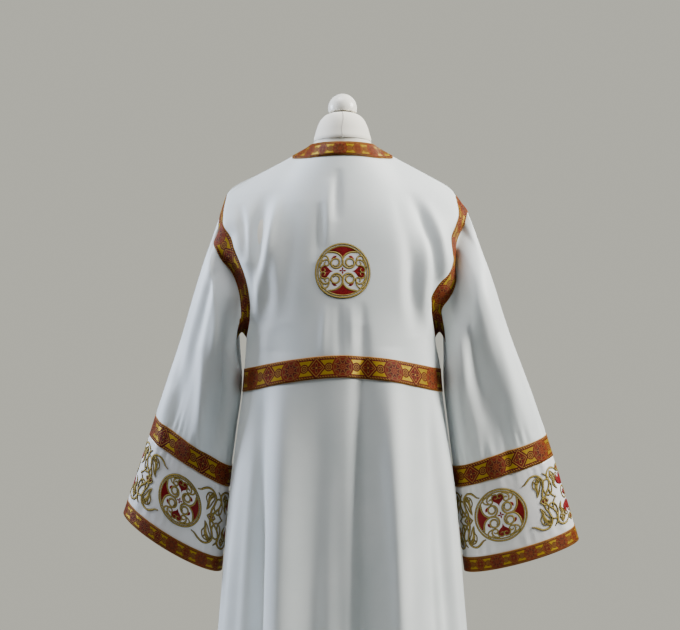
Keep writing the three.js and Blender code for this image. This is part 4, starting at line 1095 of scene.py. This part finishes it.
def addFill(work, place, left, right, slot, bulge=None, tall=0.7, base=0.45, across=7):
    # satin stitch between two edges, rounded up in the middle
    s = np.linspace(0, 1, len(left))[:, None]
    t = np.linspace(0, 1, across)[None, :]
    p = left[:, 0, None] * (1 - t) + right[:, 0, None] * t
    q = left[:, 1, None] * (1 - t) + right[:, 1, None] * t
    if bulge is not None:
        p = p + bulge[0] * s**2 * (1 - (2 * t - 1) ** 2)
        q = q + bulge[1] * s**2 * (1 - (2 * t - 1) ** 2)
    rounded = np.sin(np.pi * t) ** 0.5 * np.sin(np.pi * np.clip(s, 0.02, 0.98)) ** 0.3
    upper = base + tall * (0.3 + 0.7 * rounded)
    lower = np.full_like(p, base - 0.4)
    uv = np.stack([p * 0 + q, p], -1) * mm
    top = place(p, q, upper)
    under = place(p, q, lower)
    rows, columns = p.shape
    # one closed tube: over the top and back underneath
    loop = np.concatenate([top, under[:, ::-1]], 1)
    loopUv = np.concatenate([uv, uv[:, ::-1]], 1)
    start = addTube(work, loop, slot, loopUv, False)
    addCaps(work, start, rows, 2 * columns, slot)


def startEdit(piece):
    # edit mode with the whole piece selected
    bpy.ops.object.select_all(action="DESELECT")
    piece.select_set(True)
    bpy.context.view_layer.objects.active = piece
    bpy.ops.object.mode_set(mode="EDIT")
    bpy.ops.mesh.select_all(action="SELECT")


def finishWork(name, work):
    # the second material is the dark underlay of painted shadow along the cords' edges
    piece = workPiece(name, work, [goldThread, cordEdgeShadowThread, redThread])
    startEdit(piece)
    bpy.ops.mesh.normals_make_consistent(inside=False)
    bpy.ops.object.mode_set(mode="OBJECT")
    piece.select_set(False)
    slotted(piece)


def volute(start, heading, bendStart, bendEnd, length, count):
    # a scroll whose bend grows evenly along it, as a pen draws it; lengths in shares of the roundel's radius
    s = np.linspace(0, length, count)
    turning = bendStart * s + (bendEnd - bendStart) * s**2 / (2 * length)
    way = math.radians(heading) + turning
    step = s[1] - s[0]
    x = start[0] + np.concatenate([[0], np.cumsum(np.cos((way[1:] + way[:-1]) / 2)) * step])
    y = start[1] + np.concatenate([[0], np.cumsum(np.sin((way[1:] + way[:-1]) / 2)) * step])
    return np.stack([x, y], -1)


# roundel: a disc of satin in a double gold rim, quartered by four scrolls round a small cross.
# sizes in shares of its radius, x across and y up, for the first quarter; the others are mirrored
# how much wider and how tall the dark underlay of painted shadow round each cord is
edgeShadowUnderlay = dict(extra=1.5, tall=0.45)
roundelLook = dict(
    rim=0.955, rimInner=0.875, rimWide=3.0, cordWide=3.2, fineWide=2.3, cordTall=1.0,
    scroll=dict(start=(0.52, 0.675), heading=172, bendStart=1.2, bendEnd=8.6, length=2.16),
    second=dict(start=(0.475, 0.24), heading=88, bendStart=1.2, bendEnd=-17, length=0.78),
    hook=dict(start=(0.815, 0.17), heading=102, bendStart=0.9, bendEnd=15.5, length=0.92),
    leaf=(((0.4, 0.44), (0.31, 0.54), (0.2, 0.53)), ((0.4, 0.44), (0.29, 0.42), (0.2, 0.53))),
    heart=((0.33, 0.0), (0.44, 0.05), (0.52, 0.15), (0.62, 0.22), (0.73, 0.2), (0.79, 0.1), (0.74, 0.004)),
    curl=dict(start=(0.58, 0.225), heading=8, bendStart=-3, bendEnd=-17, length=0.62),
    petal=(0.135, 0.07, 0.035),
)


quarters = [np.array([sx, sy]) for sx in (1, -1) for sy in (1, -1)]
quarterTurns = [
    np.array([[math.cos(turn), math.sin(turn)], [-math.sin(turn), math.cos(turn)]])
    for turn in (0, math.pi / 2, 2 * math.pi / 2, 3 * math.pi / 2)
]


def roundelDesign(work, place, radius, turned):
    # turned: the red fields lie to the sides and not above and below
    look = roundelLook

    def laid(path):
        flat = np.asarray(path, float) * radius
        flat = flat[:, ::-1] if turned else flat
        return flat * np.array([1, -1])

    ring = np.linspace(0, 2 * math.pi, 120, endpoint=False)
    circle = np.stack([np.cos(ring), np.sin(ring)], -1)
    addCord(work, place, laid(circle * look["rim"]), look["rimWide"], look["cordTall"], closed=True)
    addCord(work, place, laid(circle * look["rimInner"]), look["fineWide"], look["cordTall"], closed=True)
    for name, count, wide in (("scroll", 96, "cordWide"), ("second", 40, "fineWide"), ("hook", 48, "fineWide")):
        for quarter in quarters:
            path = laid(volute(count=count, **look[name]) * quarter)
            addCord(work, place, path, look[wide], look["cordTall"], tapered=(0.05, 0.12))
    scroll = volute(count=96, **look["scroll"])
    # red field between two scrolls, from their nearest point up to the rim
    edge = scroll[: int(np.argmin(scroll[:60, 0])) + 1][::-1]
    edge = smoothPath([(0.004, edge[0, 1] - 0.12), *edge[::4], (0.55, 0.67)], 30)
    sag = look["rimInner"] - edge[-1, 1]
    for up in (1, -1):
        left = edge * np.array([-1, up])
        right = edge * np.array([1, up])
        bulge = laid([[0, sag * up]])[0]
        addFill(work, place, laid(left), laid(right), 2, bulge)
    # hearts on the other axis
    half = smoothPath(look["heart"], 20)
    axis = np.stack([np.linspace(look["heart"][0][0], look["heart"][-1][0], 20), np.full(20, -0.006)], -1)
    curl = volute(count=36, **look["curl"])
    for quarter in quarters:
        addFill(work, place, laid(axis * quarter), laid(half * quarter), 2)
        path = laid(curl * quarter)
        addCord(work, place, path, look["fineWide"] * 0.8, look["cordTall"], base=0.7, tapered=(0.1, 0.2))
    # leaves
    for quarter in quarters:
        sides = [smoothPath(np.array(edgePoints) * quarter, 10) for edgePoints in look["leaf"]]
        addFill(work, place, *map(laid, sides), 2)
    # cross of four petals
    for turnIt in quarterTurns:
        long, middle, wide = look["petal"]
        sides = [np.array([(0.0, 0.0), (middle, side * wide), (long, 0.0)]) @ turnIt for side in (1, -1)]
        addFill(work, place, *(laid(smoothPath(side, 9)) for side in sides), 2)


def disc(name, place, radius, node):
    # the round ground that the embroidery lies on
    rings, around = 22, 96
    work = newWork()
    angle = np.linspace(0, 2 * math.pi, around, endpoint=False)
    radii = np.concatenate([np.linspace(0.02, 1, rings), np.linspace(1, 0.02, rings)]) * radius
    lifts = np.repeat([shell["lift"] + 0.35, shell["lift"] - 0.25], rings)
    p = radii[:, None] * np.cos(angle)[None, :]
    q = radii[:, None] * np.sin(angle)[None, :]
    lift = np.broadcast_to(lifts[:, None], p.shape)
    points = place(p, q, lift)
    uv = np.stack([p, q], -1) * mm
    start = addTube(work, points, 0, uv, False)
    addCaps(work, start, 2 * rings, around, 0)
    slotted(workPiece(name, work, [whiteSatin]), node)


def addRoundel(node, place, size, turned):
    disc(node + "_ground", place, size / 2 - 1, node)
    work = newWork()
    roundelDesign(work, place, size / 2, turned)
    finishWork(node + "_embroidery", work)


backRoundelSize = 112
backRow = np.interp(cut["roundelDown"], backSheet["downs"], np.arange(len(backSheet["downs"])))
backPlace = placer(backSheet, backRow, panelMesh["columns"] / 2, -1)
addRoundel("back_roundel", backPlace, backRoundelSize, False)
for sleeve in sleeves:
    sheet = sleeve["sheet"]
    breaks = sheet["breaks"]
    middle = (breaks[4] + breaks[5]) / 2
    for face, step in (("back", sleeve["roundelStep"]), ("front", ringSteps - sleeve["roundelStep"])):
        column = step / ringSteps * sleeveMesh["columns"]
        place = placer(sheet, middle, column)
        addRoundel(f"{sleeve['side']}_cuff_roundel_{face}", place, sleeve["roundelSize"], True)
print("roundels made")

# vine: one quarter in millimetres, x from the motif's middle towards a roundel, y from the cuff's middle
vineLook = dict(
    cordWide=3.2, fineWide=2.3, cordTall=1.0, leafFill=0.42, rimWide=1.5, rimTall=0.8,
    link=dict(x=40, y=26, wide=10, tall=17), oval=(9, 13), squares=dict(side=54, sideSize=9.5, top=54, topSize=7),
)
# each row: start of a curl, its heading, bend at both ends, length, points, width, height and base
vineCurls = (
    ((66, 47), 250, -0.05, -0.42, 27, 28, 1.4, 1.0, 0.8),
    ((18, 47), 290, 0.05, 0.46, 23, 26, 1.3, 1.0, 0.8),
    ((12, 36), 60, 0.05, 0.42, 20, 22, 1.3, 0.9, 0.6),
)
vineStem = (
    (91, 45), (84, 47), (77, 53), (68, 58), (58, 57), (50, 50), (47, 40), (50, 27), (55, 14), (54, 0),
    (46, -14), (38, -24), (34, -36), (36, -48), (31, -58), (20, -61), (10, -56), (5, -48),
)
vineInner = ((44, 58), (35, 48), (33, 36), (38, 24), (36, 10), (26, -2))
vineLeaf = (
    ((54, 52), (66, 48), (70, 36), (65, 26), (66, 12)),
    ((54, 52), (51, 40), (56, 30), (59, 22), (66, 12)),
)
vineSmallLeaf = (
    ((25, 56), (16, 46), (16, 34), (21, 26), (17, 14)),
    ((25, 56), (29, 46), (24, 36), (25, 26), (17, 14)),
)
vinePetals = (
    (((3, 17), (13, 24), (15, 34), (9, 42)), ((3, 17), (3, 26), (5, 34), (9, 42))),
    (((0, 17), (4, 26), (4, 34), (0, 44)), ((0, 17), (-4, 26), (-4, 34), (0, 44))),
)


def vineDesign(work, place, back, front):
    look = vineLook
    link, squares = look["link"], look["squares"]
    linkTurn = np.linspace(0, 2 * math.pi, 36, endpoint=False)
    for sx in (back, -front):
        for sy in (1, -1):
            way = np.array([sx, sy])
            base = 0.5 if sy > 0 else 0.62
            stem = smoothPath(np.array(vineStem) * way, 90)
            addCord(work, place, stem, look["cordWide"], look["cordTall"], base=base, tapered=(0.08, 0.1))
            inner = smoothPath(np.array(vineInner) * way, 36)
            addCord(work, place, inner, look["fineWide"], look["cordTall"], base=base, tapered=(0.1, 0.15))
            for sides in (vineLeaf, vineSmallLeaf):
                left, right = [smoothPath(np.array(side) * way, 16) for side in sides]
                centre = (left + right) / 2
                narrowed = [centre + (edge - centre) * look["leafFill"] for edge in (left, right)]
                addFill(work, place, *narrowed, 0, tall=0.6)
                rim = np.concatenate([left, right[::-1][1:-1]])
                addCord(work, place, rim, look["rimWide"], look["rimTall"], base=0.5, closed=True)
            for *curl, wide, tall, lift in vineCurls:
                addCord(work, place, volute(*curl) * way, wide, tall, base=lift, tapered=(0.1, 0.2))
            addFill(work, place, *(smoothPath(np.array(side) * way, 12) for side in vinePetals[0]), 2)
            # a loop linked with the stem beside each square
            x = link["x"] + link["wide"] * np.cos(linkTurn)
            y = link["y"] + link["tall"] * np.sin(linkTurn)
            base = 0.67 if sy > 0 else 0.55
            addCord(
                work, place, np.stack([x, y], -1) * way, look["fineWide"], look["cordTall"], base=base, closed=True
            )
        # square with a red cross where the stems cross
        square(work, place, (sx * squares["side"], 0), squares["sideSize"])
    for sy in (1, -1):
        addFill(work, place, *(smoothPath(np.array(side) * np.array([1, sy]), 12) for side in vinePetals[1]), 2)
        square(work, place, (0, sy * squares["top"]), squares["topSize"])
    ring = np.linspace(0, 2 * math.pi, 40, endpoint=False)
    oval = np.stack([look["oval"][0] * np.cos(ring), look["oval"][1] * np.sin(ring)], -1)
    addCord(work, place, oval, look["fineWide"], look["cordTall"], closed=True)
    cross(work, place, (0, 0), 7)


def square(work, place, centre, size):
    corners = np.array([(0, 1), (1, 0), (0, -1), (-1, 0)]) * size
    path = np.concatenate([np.linspace(corners[k], corners[(k + 1) % 4], 6)[:-1] for k in range(4)])
    addCord(work, place, path + np.array(centre), vineLook["fineWide"], 1.1, base=0.7, closed=True)
    cross(work, place, centre, size * 0.62)


def cross(work, place, centre, size):
    for turnIt in quarterTurns:
        sides = [
            smoothPath(np.array([(0.0, 0.0), (0.5, side * 0.28), (1.0, 0.0)]) @ (turnIt * size) + np.array(centre), 8)
            for side in (1, -1)
        ]
        addFill(work, place, *sides, 2, base=0.7)


for sleeve in sleeves:
    sheet = sleeve["sheet"]
    middle = (sheet["breaks"][4] + sheet["breaks"][5]) / 2
    for face in ("outer", "inner"):
        vine = sleeve[face + "Vine"]
        work = newWork()
        # the back half runs towards the roundel on the back
        way = 1 if face == "outer" else -1
        column = vine["step"] / ringSteps * sleeveMesh["columns"] % sleeveMesh["columns"]
        place = placer(sheet, middle, column, way)
        vineDesign(work, place, vine["back"], vine["front"])
        finishWork(f"{sleeve['side']}_cuff_vine_{face}", work)
print("vines made")

# dress form and stand


def turnedPiece(name, look, material, node):
    # a disc drawn out ring by ring along its axis, as on a lathe
    x, y = look["axis"]
    radius, height = look["profile"][0]
    bpy.ops.object.select_all(action="DESELECT")
    bpy.ops.mesh.primitive_circle_add(
        vertices=look["sides"], radius=radius * mm, fill_type="NGON", location=(x * mm, y * mm, height * mm)
    )
    piece = bpy.context.object
    piece.name = name
    bpy.ops.object.transform_apply(location=True, rotation=True, scale=True)
    startEdit(piece)
    for nextRadius, nextHeight in look["profile"][1:]:
        bpy.ops.mesh.extrude_region_move(TRANSFORM_OT_translate=dict(value=(0, 0, (nextHeight - height) * mm)))
        factor = nextRadius / radius
        bpy.ops.transform.resize(value=(factor, factor, 1), center_override=(x * mm, y * mm, nextHeight * mm))
        radius, height = nextRadius, nextHeight
    bpy.ops.mesh.select_all(action="SELECT")
    bpy.ops.mesh.remove_doubles(threshold=1e-6)
    bpy.ops.mesh.normals_make_consistent(inside=False)
    bpy.ops.object.mode_set(mode="OBJECT")
    bpy.ops.object.shade_smooth_by_angle(angle=math.radians(35))
    piece.data.materials.append(material)
    piece.select_set(False)
    slotted(piece, node)


# points and profiles: radius and height in millimetres
capLook = dict(
    axis=(0, 4), sides=72, rings=30, foot=((52, 1466.4), (58.8, 1466.4)),
    points=(
        (59.6, 1466.4), (60.2, 1470.3), (57, 1482.3), (53, 1496.3), (47, 1509.3),
        (38, 1519.3), (25, 1525.3), (12, 1528), (1, 1528.2),
    ),
)
knobLook = dict(axis=(0, 4), sides=64, radius=30, centre=1537, foot=1528.3, footRadius=18, rings=26)
poleLook = dict(
    axis=(0, 0), sides=48,
    profile=((13.5, 18.3), (15.4, 18.3), (16, 19.5), (16, 688.5), (15.4, 689.7), (13.5, 689.7)),
)
baseLook = dict(
    axis=(0, 0), sides=96,
    profile=(
        (192, 0), (198.5, 0), (200, 1.5), (200, 8), (199.2, 10.4),
        (197, 12.4), (188, 17.4), (185, 18), (60, 18), (20, 18),
    ),
)
torsoLook = dict(neckSeam=1466, foot=690)

points = np.array(capLook["points"])
knots = runLengths(points)
at = np.linspace(0, knots[-1], capLook["rings"])
capProfile = [(float(r), float(h)) for r, h in zip(curve(knots, points[:, 0], at), curve(knots, points[:, 1], at))]
cap = dict(capLook, profile=[*capLook["foot"], *capProfile])
turnedPiece("form_neck_cap", cap, formJersey, "form_neck")
radius, centre, foot = (knobLook[key] for key in ("radius", "centre", "foot"))
angles = np.linspace(math.asin((foot - centre) / radius), math.pi / 2 - 0.03, knobLook["rings"])
profile = [(radius * math.cos(a), centre + radius * math.sin(a)) for a in angles]
knob = dict(knobLook, profile=[(knobLook["footRadius"], foot), *profile])
turnedPiece("form_knob_turned", knob, whitePaint, "form_knob")


def formTube(name, path, wide, tall):
    # a sewn seam as a fine ridge along a path of points in millimetres
    path = np.asarray(path, float)
    ahead = np.gradient(path, axis=0)
    ahead /= np.linalg.norm(ahead, axis=-1, keepdims=True)
    out = path - np.array([*capLook["axis"], 0])
    out[:, 2] *= 0
    out /= np.maximum(np.linalg.norm(out, axis=-1, keepdims=True), 1e-6)
    side = np.cross(ahead, out)
    side /= np.linalg.norm(side, axis=-1, keepdims=True)
    out = np.cross(side, ahead)
    sides = 8
    turn = np.linspace(0, 2 * math.pi, sides, endpoint=False)
    points = (
        path[:, None, :]
        + side[:, None, :] * (np.cos(turn) * wide / 2)[None, :, None]
        + out[:, None, :] * (np.sin(turn) * tall)[None, :, None]
    )
    work = newWork()
    start = addTube(work, points, 0, np.zeros((*points.shape[:2], 2)), False)
    addCaps(work, start, len(path), sides, 0)
    slotted(workPiece(name, work, [seamThread]))


for name, side in (("form_seam_back", 1), ("form_seam_front", -1)):
    # the seam wanders a little to each side on its way up
    line = [
        (1.5 * math.sin(k * 0.35), capLook["axis"][1] + side * (r + 0.15), h)
        for k, (r, h) in enumerate(capProfile[:-2])
    ]
    formTube(name, line, 1.5, 0.35)


def torsoCover():
    # the frame's form, merged and smoothed as one stretched cover; the edge of its neck stays sharp
    source = bpy.data.objects["form_torso"]
    mesh = source.data.copy()
    mesh.materials.clear()
    piece = bpy.data.objects.new("form_torso_moulded", mesh)
    bpy.context.collection.objects.link(piece)
    startEdit(piece)
    bpy.ops.mesh.remove_doubles(threshold=1e-5)
    bpy.ops.object.mode_set(mode="OBJECT")
    crease = mesh.attributes.new("crease_edge", "FLOAT", "EDGE")
    for edge in mesh.edges:
        heights = [mesh.vertices[v].co.z for v in edge.vertices]
        flatTop = min(heights) > (torsoLook["neckSeam"] - 0.5) * mm
        flatFoot = max(heights) < (torsoLook["foot"] + 0.5) * mm
        if flatTop or flatFoot:
            crease.data[edge.index].value = 1
    smoother = piece.modifiers.new("smoother", "SUBSURF")
    smoother.levels = 2
    smoother.render_levels = 2
    bpy.ops.object.modifier_apply(modifier="smoother")
    bpy.ops.object.shade_smooth_by_angle(angle=math.radians(40))
    piece.data.materials.append(formJersey)
    piece.select_set(False)
    slotted(piece, "form_torso")


torsoCover()
turnedPiece("stand_pole_turned", poleLook, whitePaint, "stand_pole")
turnedPiece("stand_base_turned", baseLook, whitePaint, "stand_base")
print("dress form made")

# camera, light and floor
view = dict(distance=2.0, height=1.104, across=0.00525, lens=50.4, sensor=36)
camera = bpy.data.objects.new("camera", bpy.data.cameras.new("camera"))
camera.location = (view["across"], view["distance"], view["height"])
camera.rotation_euler = (math.pi / 2, 0, math.pi)
camera.data.lens = view["lens"]
camera.data.sensor_width = view["sensor"]
bpy.context.collection.objects.link(camera)
bpy.context.scene.camera = camera

bpy.ops.object.select_all(action="DESELECT")
floorRadius = 1.28
bpy.ops.mesh.primitive_circle_add(vertices=128, radius=floorRadius, fill_type="NGON", location=(0, 0, 0))
floor = bpy.context.object
floor.name = "floor"
floor.data.materials.append(formFinish("paleFloor", floorLook))


def areaLight(name, place, target, size, power, tint):
    light = bpy.data.objects.new(name, bpy.data.lights.new(name, "AREA"))
    light.data.size = size
    light.data.energy = power
    light.data.color = colour(tint)[:3]
    light.location = place
    offset = np.array(target) - np.array(place)
    yaw = math.atan2(offset[1], offset[0])
    pitch = math.atan2(math.hypot(offset[0], offset[1]), -offset[2])
    light.rotation_euler = (pitch, 0, yaw - math.pi / 2)
    bpy.context.collection.objects.link(light)


# each row: name, place and the height it looks at in metres, size, power, tint
for name, place, height, size, power, tint in (
    ("leftLight", (2.4, -0.35, 1.9), 1.0, 0.8, 100, "dfeaff"),
    ("rightLight", (-2.3, 0.32, 2.4), 1.1, 0.8, 165, "fffdf6"),
    ("topLight", (0.4, 0.5, 3.1), 1.4, 1.0, 46, "ffffff"),
    ("frontLight", (-0.8, -3, 2.4), 1.0, 2.0, 30, "ffffff"),
):
    areaLight(name, place, (0, 0, height), size, power, tint)
# the wall seen behind is paler than the light it gives
world = bpy.data.worlds.new("studio")
world.use_nodes = True
tree = world.node_tree
room = tree.nodes["Background"]
room.inputs["Color"].default_value = colour("c2c5c8")
room.inputs["Strength"].default_value = 0.085
wall = addNode(tree, "Background", Color=colour("bdbcb0"), Strength=1.05)
seen = addNode(tree, "LightPath")
both = addNode(tree, "MixShader", i0=seen.outputs[0], i1=room.outputs[0], i2=wall.outputs[0])
tree.links.new(both.outputs[0], tree.nodes["World Output"].inputs["Surface"])
bpy.context.scene.world = world
print("camera and light made")

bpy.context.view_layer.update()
